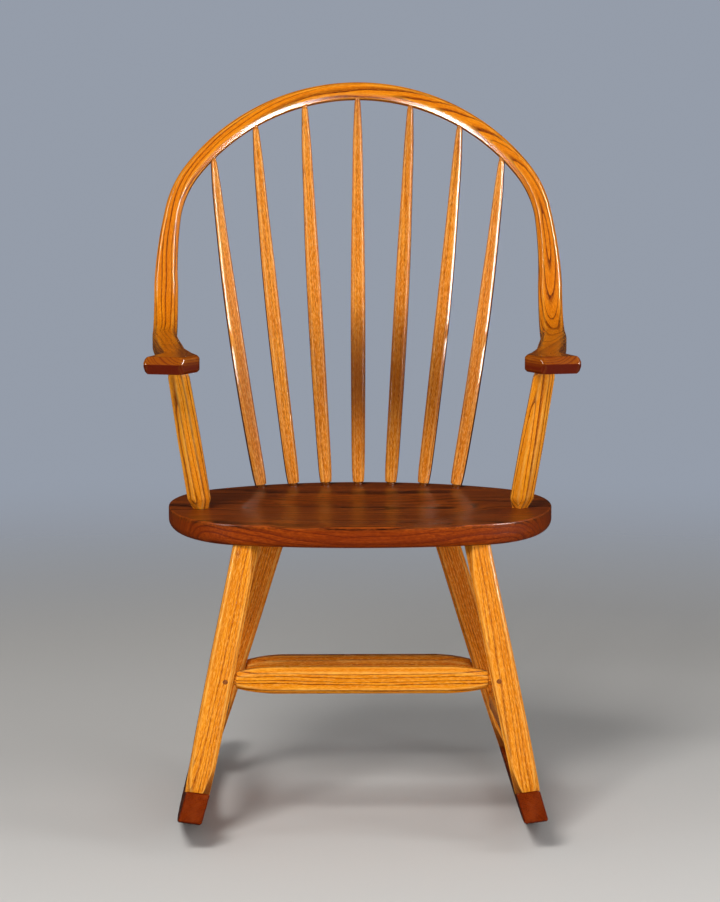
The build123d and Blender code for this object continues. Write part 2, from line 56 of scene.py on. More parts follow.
Array = np.ndarray
Amount = Union[float, Array]
Triple = tuple[float, float, float]
Socket = bpy.types.NodeSocket
Feed = Union[Socket, float, tuple]

BODY = "root"
ACROSS = np.array((1.0, 0.0, 0.0))
REARWARD = np.array((0.0, 1.0, 0.0))
UP = np.array((0.0, 0.0, 1.0))
MIRROR = np.array((-1.0, 1.0, 1.0))


# ---- Small geometry ----


def unit(vector: Array) -> Array:
    """The direction of a vector."""
    return vector / np.linalg.norm(vector)


def square_to(axis: Array, wanted: Array) -> Array:
    """The direction nearest to a wanted one that is square to an axis."""
    return unit(wanted - axis * float(wanted @ axis))


def on_circle(radius: float, angle: Amount) -> Array:
    """Across and up, at an angle from straight up."""
    return radius * np.array((np.sin(angle), np.cos(angle)))


def steps(first: float, last: float, count: int) -> Array:
    """Evenly spaced values, with both ends."""
    return np.linspace(first, last, count + 1)


def smooth(share: Amount) -> Amount:
    """A share that starts and stops gently."""
    return share * share * (3 - 2 * share)


def cubic(start: Amount, end: Amount, leaving: Amount, arriving: Amount, t: Amount) -> Amount:
    """A curve between two values or points.

    Args:
        start: Where it starts.
        end: Where it ends.
        leaving: Its slope at the start, times the length of the span.
        arriving: Its slope at the end, times the length of the span.
        t: The share of the way.

    Returns:
        The value or point there.
    """
    low = start * (1 + 2 * t) * (1 - t) ** 2 + leaving * t * (1 - t) ** 2
    return low + end * smooth(t) + arriving * t * t * (t - 1)


@dataclass(frozen=True)
class Profile:
    """A size that changes smoothly along a piece and doesn't overshoot its stations."""

    stations: tuple[tuple[float, float], ...]
    straight: bool = False

    def at(self, share: float) -> float:
        """The size at a share of the way.

        Args:
            share: The place along the piece, in the stations' own measure.

        Returns:
            The size there, by straight spans or by cubic ones that rise and fall only where the
            stations do.
        """
        places, sizes = (np.array(column) for column in zip(*self.stations))
        if self.straight:
            return float(np.interp(share, places, sizes))
        slopes = np.diff(sizes) / np.diff(places)
        before, after = slopes[:-1], slopes[1:]
        product = before * after
        inner = np.where(product > 0, 2 * product / np.where(product > 0, before + after, 1), 0)
        tangents = np.concatenate((slopes[:1], inner, slopes[-1:]))
        span = int(np.clip(np.searchsorted(places, share) - 1, 0, len(slopes) - 1))
        length = places[span + 1] - places[span]
        leaving, arriving = tangents[span : span + 2] * length
        t = (share - places[span]) / length
        return float(cubic(sizes[span], sizes[span + 1], leaving, arriving, t))


class Side(Enum):
    """A side of the chair, as the sitter names it."""

    LEFT = "left"
    RIGHT = "right"

    def place(self, point: Array) -> Array:
        """A point or direction of the left side, taken to this side."""
        return point if self is Side.LEFT else point * MIRROR


# ---- Sections of a stick ----

CORNERS = 8
FIRST_CORNER = radians(-112.5)
ARRIS_VALUES = (0.0, 0.75, 1.0, 0.75, 0.0)  # at the points of one corner
INNER_BEVEL_POINTS = [0, 1, -2, -1]
WEAR_REACH = 0.0022
WEAR_LIMIT = 0.42  # of a face's width
EASE_LIMIT = 0.25  # of a face's width


@dataclass(frozen=True)
class BevelledSection:
    """A rectangle with eight eased corners, square to a stick."""

    width: float
    depth: float
    bevel: float
    inner_bevel: Optional[float] = None
    easing: float = 0.0011

    def corners(self) -> Array:
        """The eight sharp corners, with the inner front bevel at -x, -y.

        Returns:
            Their distances across and through, one row each.
        """
        x, y, b = self.width / 2, self.depth / 2, self.bevel
        i = b if self.inner_bevel is None else self.inner_bevel
        front = ((i - x, -y), (x - b, -y), (x, b - y))
        back = ((x, y - b), (x - b, y), (b - x, y), (-x, y - b))
        return np.array((*front, *back, (-x, i - y)))

    def outline(self) -> tuple[Array, Array]:
        """The eased outline.

        Returns:
            The points, and for each how near it is to the middle of an arris, from 0 to 1.
        """
        corner = self.corners()
        back, on = np.roll(corner, 1, axis=0) - corner, np.roll(corner, -1, axis=0) - corner
        back_length, on_length = (
            np.linalg.norm(face, axis=1, keepdims=True) for face in (back, on)
        )
        back, on = back / back_length, on / on_length
        ease = np.minimum(self.easing, EASE_LIMIT * np.minimum(back_length, on_length))
        first, last = corner + back * ease, corner + on * ease
        lead = corner + back * np.minimum(ease + WEAR_REACH, WEAR_LIMIT * back_length)
        trail = corner + on * np.minimum(ease + WEAR_REACH, WEAR_LIMIT * on_length)
        crest = (first + 2 * corner + last) / 4
        points = np.stack((lead, first, crest, last, trail), axis=1).reshape(-1, 2)
        return points, np.tile(ARRIS_VALUES, CORNERS)


@dataclass(frozen=True)
class RoundSection:
    """A circle with as many points as a bevelled section has, in the same order."""

    radius: float

    def outline(self) -> tuple[Array, Array]:
        """The points of the circle, and no arris on any of them.

        Returns:
            The points, and an arris value for each.
        """
        count = CORNERS * len(ARRIS_VALUES)
        angles = FIRST_CORNER + 2 * pi * (np.arange(count) - len(ARRIS_VALUES) // 2) / count
        return self.radius * np.column_stack((np.cos(angles), np.sin(angles))), np.zeros(count)


Section = Union[BevelledSection, RoundSection]


@dataclass(frozen=True)
class PaintedShade:
    """How much darker some faces of a stick are than its front: painted shade on its sides, its
    inner front bevel and its underside.
    """

    sides: float = 0.0
    inner_bevel: float = 0.0
    under: float = 0.0
    side_share: float = 0.97  # of the half width, from which a point is on a side

    def over(self, flat: Array) -> Array:
        """What is left of the tone at each point of a section.

        Args:
            flat: The points, across and through the stick.

        Returns:
            1 where the tone stays, and less where a face gets painted shade.
        """
        left = np.ones(len(flat))
        reach = np.abs(flat[:, 0])
        left[reach > self.side_share * reach.max()] -= self.sides
        left[flat[:, 1] > 0] -= self.under
        left[INNER_BEVEL_POINTS] -= self.inner_bevel
        return np.clip(left, 0, 1)


# no painted shade on any face
PLAIN = PaintedShade()


@dataclass(frozen=True)
class Cut:
    """Where in its log a piece was sawn.

    The pith offsets are from the pith to the piece's middle. A small one gives arched figure on
    the face that looks along it, and a large one gives straight lines. The runout is how far the
    grain drifts across the piece for each metre of its length. The sweep adds offsets at places
    along the piece, as distance along, across and deep.
    """

    start: float
    pith_across: float
    pith_deep: float
    runout_across: float = 0.0
    runout_deep: float = 0.0
    sweep: tuple[Triple, ...] = ((0.0, 0.0, 0.0),)

    def places(self, along: Amount, across: Array, deep: Array) -> Array:
        """The places in the log of points of the piece.

        Args:
            along: The points' distance along the piece.
            across: Each point's distance across it.
            deep: Each point's distance through it.

        Returns:
            One row for each point: along the log, and two distances from its pith.
        """
        along = np.broadcast_to(along, across.shape)
        stations, across_shifts, deep_shifts = zip(*self.sweep)
        across = across + self.runout_across * along + np.interp(along, stations, across_shifts)
        deep = deep + self.runout_deep * along + np.interp(along, stations, deep_shifts)
        across, deep = self.pith_across + across, self.pith_deep + deep
        return np.column_stack((self.start + along, across, deep))


# ---- Meshes ----

SHARP_ANGLE = radians(50)
PIECE_ENDING = "_wood"


@contextmanager
def edited(mesh: bpy.types.Mesh) -> Iterator[bmesh.types.BMesh]:
    """Gives a mesh's editable form, and writes it back at the end.

    Args:
        mesh: The mesh.

    Yields:
        Its editable form.
    """
    work = bmesh.new()
    work.from_mesh(mesh)
    yield work
    work.to_mesh(mesh)
    work.free()


def placed(name: str, data: bpy.types.ID) -> bpy.types.Object:
    """A new object in the scene.

    Args:
        name: Its name.
        data: Its mesh, lamp or camera.

    Returns:
        The object.
    """
    thing = bpy.data.objects.new(name, data)
    bpy.context.scene.collection.objects.link(thing)
    return thing


def store(mesh: bpy.types.Mesh, name: str, values: Array) -> None:
    """Writes a number or a vector for each of a mesh's points as a named attribute.

    Args:
        mesh: The mesh.
        name: The attribute's name.
        values: A number or a row of three for each point.
    """
    kind, field = ("FLOAT_VECTOR", "vector") if values.ndim == 2 else ("FLOAT", "value")
    layer = mesh.attributes.new(name, kind, "POINT")
    layer.data.foreach_set(field, np.asarray(values, np.float32).ravel())


def whole_piece(mesh: bpy.types.Mesh, node: str) -> bpy.types.Object:
    """Makes a closed mesh an object of its own, with flats that stay flat beside eased arrises.

    Args:
        mesh: The closed mesh, with its place in it.
        node: The CAD node that the piece stands for.

    Returns:
        The new object.
    """
    with edited(mesh) as work:
        bmesh.ops.recalc_face_normals(work, faces=work.faces)
    mesh.shade_smooth()
    mesh.set_sharp_from_angle(angle=SHARP_ANGLE)
    thing = placed(node + PIECE_ENDING, mesh)
    thing.modifiers.new("flats stay flat", "WEIGHTED_NORMAL").keep_sharp = True
    return thing


def bands(low: int, high: int, count: int) -> Iterator[tuple[int, ...]]:
    """The quads between rings of a count of points, from a low ring to a high one.

    Args:
        low: The low ring's number.
        high: The high ring's number.
        count: How many points a ring has.

    Yields:
        The four points of each quad.
    """
    for start in range(low * count, high * count, count):
        for j in range(count):
            k = (j + 1) % count
            yield start + j, start + k, start + count + k, start + count + j


class Loft:
    """Closed skins through rings of points, each from one end of a piece to the other."""

    def __init__(self, cut: Cut) -> None:
        """Starts an empty skin of a piece that is sawn as the cut says.

        Args:
            cut: Where in its log the piece was sawn.
        """
        self.cut = cut
        self.rings: list[Array] = []
        self.places: list[Array] = []
        self.arrises: list[Array] = []
        self.tones: list[Array] = []
        self.starts: list[int] = [0]

    def ring(
        self,
        origin: Array,
        axes: tuple[Array, Array],
        section: Section,
        along: float,
        tone: float = 1.0,
        shading: PaintedShade = PLAIN,
    ) -> None:
        """Adds the next ring.

        Args:
            origin: The middle of the section.
            axes: The directions of its width and of its depth.
            section: Its outline.
            along: The distance along the piece.
            tone: 1 for the finish's own colour, and less where a darker stain or painted shade
                darkens it.
            shading: Which of its faces get painted shade.
        """
        flat, arris = section.outline()
        self.add(origin + flat @ np.array(axes), flat, arris, along, tone * shading.over(flat))

    def add(self, points: Array, flat: Array, arris: Array, along: Amount, tone: Array) -> None:
        """Adds a ring that is already placed.

        Args:
            points: The points, one row each.
            flat: Each point's distances across and through the piece.
            arris: Each point's arris value.
            along: The points' distance along the piece.
            tone: Each point's tone, painted shade included.
        """
        self.rings.append(points)
        self.places.append(self.cut.places(along, flat[:, 0], flat[:, 1]))
        self.arrises.append(arris)
        self.tones.append(tone)

    def part(self) -> None:
        """Ends one closed skin, so that the next ring starts another in the same mesh."""
        self.starts.append(len(self.rings))

    def object(self, name: str) -> bpy.types.Object:
        """The piece, as an object of closed quads with a cap at each end of each skin.

        Args:
            name: The CAD node that it stands for.

        Returns:
            The piece.
        """
        count = len(self.rings[0])
        faces: list[tuple[int, ...]] = []
        ends = sorted({*self.starts, len(self.rings)})
        for low, high in zip(ends, ends[1:]):
            faces += bands(low, high - 1, count)
            faces += (tuple(range(r * count, (r + 1) * count)) for r in (low, high - 1))
        mesh = bpy.data.meshes.new(name)
        mesh.from_pydata(np.vstack(self.rings).tolist(), [], faces)
        store(mesh, "grain", np.vstack(self.places))
        store(mesh, "arris", np.concatenate(self.arrises))
        # the tone holds the darker stain and the painted shade together
        store(mesh, "tone", np.concatenate(self.tones))
        return whole_piece(mesh, name)


# ---- Shader nodes ----


class Nodes:
    """Adds and links the nodes of one tree."""

    def __init__(self, tree: bpy.types.NodeTree) -> None:
        """Works on a tree, and spreads its nodes from left to right."""
        self.tree = tree
        self.count = 0

    def add(self, kind: str, **settings: object) -> bpy.types.Node:
        """A new node of a kind, with its settings.

        Args:
            kind: The node's type.
            **settings: Its properties.

        Returns:
            The node.
        """
        node = self.tree.nodes.new(kind)
        node.location = (220 * (self.count // 4), -190 * (self.count % 4))
        self.count += 1
        for name, value in settings.items():
            setattr(node, name, value)
        return node

    def feed(self, socket: Socket, value: Feed) -> None:
        """Links a socket to another, or sets its value.

        Args:
            socket: The input.
            value: An output, or the input's own value.
        """
        if isinstance(value, Socket):
            self.tree.links.new(value, socket)
        else:
            socket.default_value = value

    def listed(self, node: bpy.types.Node, values: Sequence[Feed]) -> bpy.types.NodeOutputs:
        """Feeds a node's inputs in their order, and gives its outputs.

        Args:
            node: The node.
            values: What its inputs get.

        Returns:
            Its outputs.
        """
        for socket, value in zip(node.inputs, values):
            self.feed(socket, value)
        return node.outputs

    def named(self, node: bpy.types.Node, **values: Feed) -> bpy.types.NodeOutputs:
        """Feeds a node's inputs by their names, an underscore for each space.

        Args:
            node: The node.
            **values: What its inputs get.

        Returns:
            Its outputs.
        """
        for name, value in values.items():
            self.feed(node.inputs[name.replace("_", " ")], value)
        return node.outputs

    def math(self, operation: str, *values: Feed, clamp: bool = False) -> Socket:
        """The result of a Math node."""
        node = self.add("ShaderNodeMath", operation=operation, use_clamp=clamp)
        return self.listed(node, values)[0]

    def vector(self, operation: str, *values: Feed) -> bpy.types.NodeOutputs:
        """The outputs of a Vector Math node."""
        return self.listed(self.add("ShaderNodeVectorMath", operation=operation), values)

    def noise(self, place: Socket, scale: Feed, detail: float, roughness: float = 0.5) -> Socket:
        """Smooth noise, about 0 to 1.

        Args:
            place: Where it is read.
            scale: How many features there are in a metre, along each axis.
            detail: How much finer noise is laid over it.
            roughness: How strong that is.

        Returns:
            The noise.
        """
        scaled = self.vector("MULTIPLY", place, scale)["Vector"]
        node = self.add("ShaderNodeTexNoise", noise_dimensions="3D")
        values = {"Vector": scaled, "Scale": 1.0, "Detail": detail, "Roughness": roughness}
        return self.named(node, **values)["Fac"]

    def remap(
        self, value: Feed, low: Feed, high: Feed, to_low: Feed = 0.0, to_high: Feed = 1.0
    ) -> Socket:
        """A value taken smoothly from one range to another."""
        node = self.add("ShaderNodeMapRange", interpolation_type="SMOOTHSTEP")
        return self.listed(node, (value, low, high, to_low, to_high))["Result"]

    def mix(self, factor: Feed, base: Feed, other: Feed) -> Socket:
        """A colour mixed from two."""
        node = self.add("ShaderNodeMix", data_type="RGBA", clamp_factor=True)
        return self.named(node, Factor=factor, A=base, B=other)[2]

    def attribute(self, name: str) -> bpy.types.NodeOutputs:
        """What reads a mesh attribute."""
        kind = "ShaderNodeAttribute"
        return self.add(kind, attribute_type="GEOMETRY", attribute_name=name).outputs

    def group(self, tree: bpy.types.NodeTree, **values: Feed) -> bpy.types.NodeOutputs:
        """The outputs of a placed group, with its inputs fed by their names."""
        return self.named(self.add("ShaderNodeGroup", node_tree=tree), **values)


class GroupNodes(Nodes):
    """The nodes of a shader group with named inputs and outputs."""

    def __init__(
        self, name: str, inputs: dict[str, Optional[float]], outputs: Sequence[str]
    ) -> None:
        """Makes an empty group.

        Args:
            name: The group's name.
            inputs: Each input's value, or None where it is a vector.
            outputs: The names of the values that it puts out.
        """
        super().__init__(bpy.data.node_groups.new(name, "ShaderNodeTree"))
        face = self.tree.interface
        for label, value in inputs.items():
            kind = "NodeSocketVector" if value is None else "NodeSocketFloat"
            socket = face.new_socket(name=label, in_out="INPUT", socket_type=kind)
            if value is not None:
                socket.default_value = value
        for label in outputs:
            face.new_socket(name=label, in_out="OUTPUT", socket_type="NodeSocketFloat")
        self.given = self.add("NodeGroupInput").outputs
        self.results = self.add("NodeGroupOutput")


def fresh_nodes(owner: Union[bpy.types.Material, bpy.types.World]) -> Nodes:
    """The emptied nodes of a material or of the world.

    Args:
        owner: The material or the world.

    Returns:
        What adds nodes to its tree.
    """
    owner.use_nodes = True
    owner.node_tree.nodes.clear()
    return Nodes(owner.node_tree)


# How many features the figure has in a metre: along the log, and twice across it.
BEND_SCALE = (5.0, 16.0, 16.0)
FIBRE_SCALE = (14.0, 520.0, 520.0)
DRIFT_SCALE = (3.5, 38.0, 38.0)
FLECK_SCALE = (150.0, 900.0, 900.0)
PATCH_SCALE = (30.0, 90.0, 90.0)
HANDLED_SCALE = (22.0, 40.0, 40.0)
RIPPLE_SCALE = (45.0, 160.0, 160.0)
PORES_ACROSS = 1500.0
ACROSS_LOG = (0.0, 1.0, 1.0)

# How the years follow each other.
YEAR_CHANGES = 0.45  # how often their width changes, in each of them
YEAR_SPREAD = 2.2  # by how many of them a ring moves at most
EARLY_END = 0.34  # of a year
LATE_END = 0.94  # of a year
LATE_PORES = 0.12  # the share of the pores that late wood keeps

# From where to where a noise counts.
PORE_RANGE = (0.5, 0.62)
STREAK_RANGE = (0.3, 0.7)
FLECK_RANGE = (0.32, 0.68)
PATCH_RANGE = (0.35, 0.65)
HANDLED_RANGE = (0.3, 0.72)

LEAST_RUBBED = 0.35  # the wear between the patches
STAINED_WEAR = (0.3, 1.0, 0.1, 1.0)  # from a dark and a full tone to the wear that shows
RING_RELIEF = 0.35  # beside a pore's
RIPPLE_RELIEF = 0.5  # beside a pore's
BUMP_STRENGTH = 0.5
COAT_IOR = 1.5


def oak_figure_group() -> bpy.types.NodeTree:
    """Annual rings, pores and fibre, worked out from a place in the log.

    Returns:
        The group. Early Wood is the porous start of each ring, Pores the open vessels, Fibre a
        fine streak, Drift a slow change of shade along the grain, and Flecks short marks as wide
        as a ray, dark near 1 and pale near 0.
    """
    group = GroupNodes(
        "oak figure",
        {"Place": None, "Ring Spacing": 0.004, "Wander": 0.004, "Pore Length": 0.02},
        ("Early Wood", "Pores", "Fibre", "Drift", "Flecks"),
    )
    place, math = group.given["Place"], group.math
    bend = math("SUBTRACT", group.noise(place, BEND_SCALE, 2.5), 0.5)
    wander = math("MULTIPLY", bend, group.given["Wander"])
    radius = group.vector("LENGTH", group.vector("MULTIPLY", place, ACROSS_LOG)["Vector"])["Value"]
    years = math("DIVIDE", math("ADD", radius, wander), group.given["Ring Spacing"])
    season = group.add("ShaderNodeTexNoise", noise_dimensions="1D")
    changes = math("MULTIPLY", years, YEAR_CHANGES)
    uneven = group.named(season, W=changes, Detail=1.0, Scale=1.0)["Fac"]
    phase = math("FRACT", math("ADD", years, math("MULTIPLY", uneven, YEAR_SPREAD)))
    fading = group.remap(phase, 0.0, EARLY_END, 1.0, 0.0)
    early = math("MAXIMUM", fading, group.remap(phase, LATE_END, 1.0))
    vessels_along = math("DIVIDE", 1.0, group.given["Pore Length"])
    axes = (vessels_along, PORES_ACROSS, PORES_ACROSS)
    vessel_scale = group.listed(group.add("ShaderNodeCombineXYZ"), axes)[0]
    vessels = group.remap(group.noise(place, vessel_scale, 1.0), *PORE_RANGE)
    fibre = group.noise(place, FIBRE_SCALE, 3.0, 0.6)
    drift = group.noise(place, DRIFT_SCALE, 2.0)
    flecks = group.noise(place, FLECK_SCALE, 2.0, 0.55)
    group.named(
        group.results,
        Early_Wood=early,
        Pores=math("MULTIPLY", vessels, group.remap(early, 0.0, 1.0, LATE_PORES, 1.0)),
        Fibre=group.remap(fibre, *STREAK_RANGE),
        Drift=group.remap(drift, *STREAK_RANGE),
        Flecks=group.remap(flecks, *FLECK_RANGE),
    )
    return group.tree


def arris_wear_group() -> bpy.types.NodeTree:
    """Where hands and cloth have thinned the stain on the arrises.

    Returns:
        The group. Wear is 1 on a bare arris and 0 on a flat.
    """
    group = GroupNodes("arris wear", {"Arris": 0.0, "Place": None, "Amount": 0.5}, ("Wear",))
    patches = group.noise(group.given["Place"], PATCH_SCALE, 3.0)
    rubbed = group.remap(patches, *PATCH_RANGE, LEAST_RUBBED, 1.0)
    rubbed = group.math("MULTIPLY", group.given["Arris"], rubbed)
    wear = group.math("MULTIPLY", rubbed, group.given["Amount"], clamp=True)
    group.named(group.results, Wear=wear)
    return group.tree


def lacquer_group() -> bpy.types.NodeTree:
    """How the lacquer's gloss changes from place to place, with its brush marks and handling.

    Returns:
        The group. Roughness goes from Smooth to Dull, and Ripple is the lacquer's unevenness.
    """
    group = GroupNodes(
        "lacquer", {"Place": None, "Smooth": 0.2, "Dull": 0.35}, ("Roughness", "Ripple")
    )
    given = group.given
    handled = group.noise(given["Place"], HANDLED_SCALE, 3.0)
    group.named(
        group.results,
        Roughness=group.remap(handled, *HANDLED_RANGE, given["Smooth"], given["Dull"]),
        Ripple=group.noise(given["Place"], RIPPLE_SCALE, 1.0),
    )
    return group.tree


# ---- Finishes ----

Shown = tuple[int, int, int]
Colour = tuple[float, float, float, float]


def linear(shade: Shown) -> Colour:
    """The linear colour of a shown one, which is given in steps of 255."""
    parts = (channel / 255 for channel in shade)
    return (*(c / 12.92 if c <= 0.04 else ((c + 0.055) / 1.055) ** 2.4 for c in parts), 1.0)


class SharedGroups:
    """The shader groups that every wood finish places with its own values."""

    def __init__(self) -> None:
        """Builds each group once."""
        self.figure = oak_figure_group()
        self.wear = arris_wear_group()
        self.lacquer = lacquer_group()


@dataclass(frozen=True)
class WoodFinish:
    """A stained and lacquered wood."""

    name: str
    slot: str
    late_wood: Shown
    streak: Shown
    early_wood: Shown
    pore: Shown
    # the colour that a low tone mixes towards: a real darker stain, and painted shade on shaded
    # faces and in the spindles' necks
    dark_stain_and_shade: Shown
    worn: Shown
    ring_spacing: float = 0.0045
    wander: float = 0.006
    pore_length: float = 0.022
    ring_strength: float = 0.7
    pore_strength: float = 0.8
    fleck_strength: float = 0.3
    drift_strength: float = 0.55
    stain_clearness: float = 0.0
    wear: float = 0.4
    smooth: float = 0.24
    dull: float = 0.36
    specular: float = 0.08
    coat: float = 0.35
    coat_roughness: float = 0.1
    relief: float = 0.00035

    def material(self, groups: SharedGroups) -> bpy.types.Material:
        """Builds the material.

        Args:
            groups: The shared shader groups.

        Returns:
            The finished material.
        """
        material = bpy.data.materials.new(self.name)
        nodes = fresh_nodes(material)
        place = nodes.attribute("grain")["Vector"]
        tone = nodes.attribute("tone")["Fac"]
        arris = nodes.attribute("arris")["Fac"]
        figure = nodes.group(
            groups.figure,
            Place=place,
            Ring_Spacing=self.ring_spacing,
            Wander=self.wander,
            Pore_Length=self.pore_length,
        )
        wear = nodes.group(groups.wear, Arris=arris, Place=place, Amount=self.wear)["Wear"]
        lacquer = nodes.group(groups.lacquer, Place=place, Smooth=self.smooth, Dull=self.dull)
        rings = nodes.math("MULTIPLY", figure["Early Wood"], self.ring_strength)
        pores = nodes.math("MULTIPLY", figure["Pores"], self.pore_strength)
        layers = (
            (figure["Fibre"], self.streak),
            (nodes.remap(figure["Drift"], 0.0, 1.0, 0.0, self.drift_strength), self.streak),
            (rings, self.early_wood),
            (nodes.remap(figure["Flecks"], 0.5, 1.0, 0.0, self.fleck_strength), self.early_wood),
            (nodes.remap(figure["Flecks"], 0.5, 0.0, 0.0, self.fleck_strength), self.worn),
            (pores, self.pore),
        )
        colour: Feed = linear(self.late_wood)
        for factor, shade in layers:
            colour = nodes.mix(factor, colour, linear(shade))
        # where the tone is low the colour goes towards the dark stain: a real stain on the arms and
        # the seat's wall, painted shade on shaded faces
        cover = nodes.remap(tone, 0.0, 1.0, self.stain_clearness, 1.0)
        colour = nodes.mix(cover, linear(self.dark_stain_and_shade), colour)
        bare = nodes.math("MULTIPLY", wear, nodes.remap(tone, *STAINED_WEAR))
        sunk = nodes.math("ADD", pores, nodes.math("MULTIPLY", rings, RING_RELIEF))
        ripple = nodes.math("MULTIPLY", lacquer["Ripple"], RIPPLE_RELIEF)
        bump = nodes.named(
            nodes.add("ShaderNodeBump"),
            Strength=BUMP_STRENGTH,
            Distance=self.relief,
            Height=nodes.math("SUBTRACT", ripple, sunk),
        )
        surface = nodes.named(
            nodes.add("ShaderNodeBsdfPrincipled"),
            Base_Color=nodes.mix(bare, colour, linear(self.worn)),
            Roughness=lacquer["Roughness"],
            Normal=bump["Normal"],
            Specular_IOR_Level=self.specular,
            Coat_Weight=self.coat,
            Coat_Roughness=self.coat_roughness,
            Coat_IOR=COAT_IOR,
        )
        nodes.named(nodes.add("ShaderNodeOutputMaterial"), Surface=surface["BSDF"])
        return material


HONEY_OAK = WoodFinish(
    name="honey oak",
    slot="honey_oak",
    late_wood=(255, 170, 34),
    streak=(240, 134, 12),
    early_wood=(148, 60, 4),
    pore=(76, 26, 0),
    dark_stain_and_shade=(84, 26, 2),
    worn=(252, 194, 96),
    ring_spacing=0.0062,
    wander=0.011,
    ring_strength=0.95,
    fleck_strength=0.2,
)
STRETCHER_OAK = replace(
    HONEY_OAK,
    name="lined honey oak",
    late_wood=(236, 150, 22),
    streak=(216, 120, 10),
    early_wood=(122, 44, 1),
)
LEG_OAK = replace(
    HONEY_OAK,
    name="fine honey oak",
    late_wood=(234, 148, 30),
    streak=(212, 120, 14),
    early_wood=(166, 76, 3),
    pore=(110, 44, 2),
    ring_spacing=0.0042,
    wander=0.008,
    pore_length=0.009,
    ring_strength=0.7,
    pore_strength=0.75,
    fleck_strength=0.28,
)
# a deeper, redder copy of the leg oak for the rear legs and the rear and side stretchers: partly a
# deeper stain, partly painted shade from the seat above them
SHADED_REAR_OAK = replace(
    LEG_OAK,
    name="deep honey oak",
    late_wood=(234, 136, 20),
    streak=(208, 104, 9),
    early_wood=(168, 74, 3),
    pore=(104, 38, 1),
)
HOOP_OAK = replace(
    HONEY_OAK,
    name="gold oak",
    late_wood=(230, 134, 6),
    streak=(206, 106, 2),
    early_wood=(116, 36, 1),
    pore=(60, 16, 0),
    dark_stain_and_shade=(96, 24, 2),
    worn=(250, 178, 60),
    ring_spacing=0.005,
    fleck_strength=0.15,
    specular=0.02,
    coat=0.6,
    coat_roughness=0.2,
    relief=0.0001,
)
SPINDLE_OAK = replace(
    HONEY_OAK,
    name="tan oak",
    late_wood=(234, 148, 40),
    streak=(210, 114, 16),
    early_wood=(140, 60, 4),
    pore=(84, 34, 2),
    dark_stain_and_shade=(70, 22, 0),
    worn=(244, 184, 104),
    ring_spacing=0.0035,
    wander=0.006,
    pore_length=0.006,
    ring_strength=0.3,
    pore_strength=0.7,
    fleck_strength=0.4,
    specular=0.02,
)
SEAT_WOOD = WoodFinish(
    name="dark seat wood",
    slot="dark_seat",
    late_wood=(172, 80, 8),
    streak=(92, 32, 2),
    early_wood=(44, 10, 0),
    pore=(20, 4, 0),
    dark_stain_and_shade=(132, 42, 0),
    worn=(168, 74, 16),
    ring_spacing=0.008,
    wander=0.02,
    ring_strength=1.0,
    stain_clearness=0.5,
    smooth=0.34,
    dull=0.44,
    specular=0.03,
    coat=0.3,
    coat_roughness=0.28,
)
ROCKER_WOOD = WoodFinish(
    name="dark rocker wood",
    slot="dark_rocker",
    late_wood=(104, 30, 1),
    streak=(90, 24, 0),
    early_wood=(64, 14, 0),
    pore=(40, 10, 0),
    dark_stain_and_shade=(52, 14, 1),
    worn=(150, 62, 16),
    ring_strength=0.5,
    specular=0.04,
    coat=0.2,
)
PEG_WOOD = WoodFinish(
    name="peg wood",
    slot="peg_wood",
    late_wood=(150, 84, 34),
    streak=(126, 66, 26),
    early_wood=(92, 44, 18),
    pore=(50, 24, 12),
    dark_stain_and_shade=(60, 26, 12),
    worn=(180, 110, 60),
    ring_spacing=0.0015,
    wander=0.001,
)
OAKS = (HONEY_OAK, STRETCHER_OAK, LEG_OAK, SHADED_REAR_OAK, HOOP_OAK, SPINDLE_OAK)
FINISHES = (*OAKS, SEAT_WOOD, ROCKER_WOOD, PEG_WOOD)


class Workshop:
    """Finishes pieces: gives each its material and its body, and hides its CAD node."""

    def __init__(self) -> None:
        """Builds the shared groups and the materials once."""
        groups = SharedGroups()
        self.materials = {finish.name: finish.material(groups) for finish in FINISHES}

    def finish(self, piece: bpy.types.Object, finish: WoodFinish) -> None:
        """Finishes one piece and sets it on the chair, in the place of its CAD node.

        Args:
            piece: The piece.
            finish: Its wood.
        """
        piece.data.materials.append(self.materials[finish.name])
        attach(piece, BODY)
        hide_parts(piece.name.removesuffix(PIECE_ENDING))
        log.info("%s: %d points, %s", piece.name, len(piece.data.vertices), finish.name)


Finished = tuple[bpy.types.Object, WoodFinish]


class Assembly(ABC):
    """Pieces that are made together."""

    @abstractmethod
    def pieces(self) -> Iterator[Finished]:
        """Makes each piece, and says how it is finished."""

    def build(self, shop: Workshop) -> int:
        """Makes and finishes every piece.

        Args:
            shop: What finishes them.

        Returns:
            How many pieces there are.
        """
        count = 0
        for piece, finish in self.pieces():
            shop.finish(piece, finish)
            count += 1
        return count


# ---- Rockers ----

PEG_DOME = ((0.25, 1.0), (0.6, 0.8), (0.85, 0.45), (1.0, 0.0))  # shares of radius and of rise
PEG_BODY = (0.1, 1.0)  # shares of length


def peg(
    loft: Loft, start: Array, direction: Array, radius: float, length: float, head: float
) -> None:
    """Adds a round peg with a domed head to a skin.

    Args:
        loft: The skin.
        start: The middle of the face that the head stands on.
        direction: Into the wood.
        radius: The peg's radius.
        length: How far it goes in.
        head: How far its dome stands out.
    """
    across = square_to(direction, UP)
    rings = [(radius * share, -head * rise) for share, rise in PEG_DOME]
    rings += [(radius, length * share) for share in PEG_BODY]
    for size, depth in rings:
        axes = (across, np.cross(direction, across))
        loft.ring(start + direction * depth, axes, RoundSection(size), depth)
    loft.part()


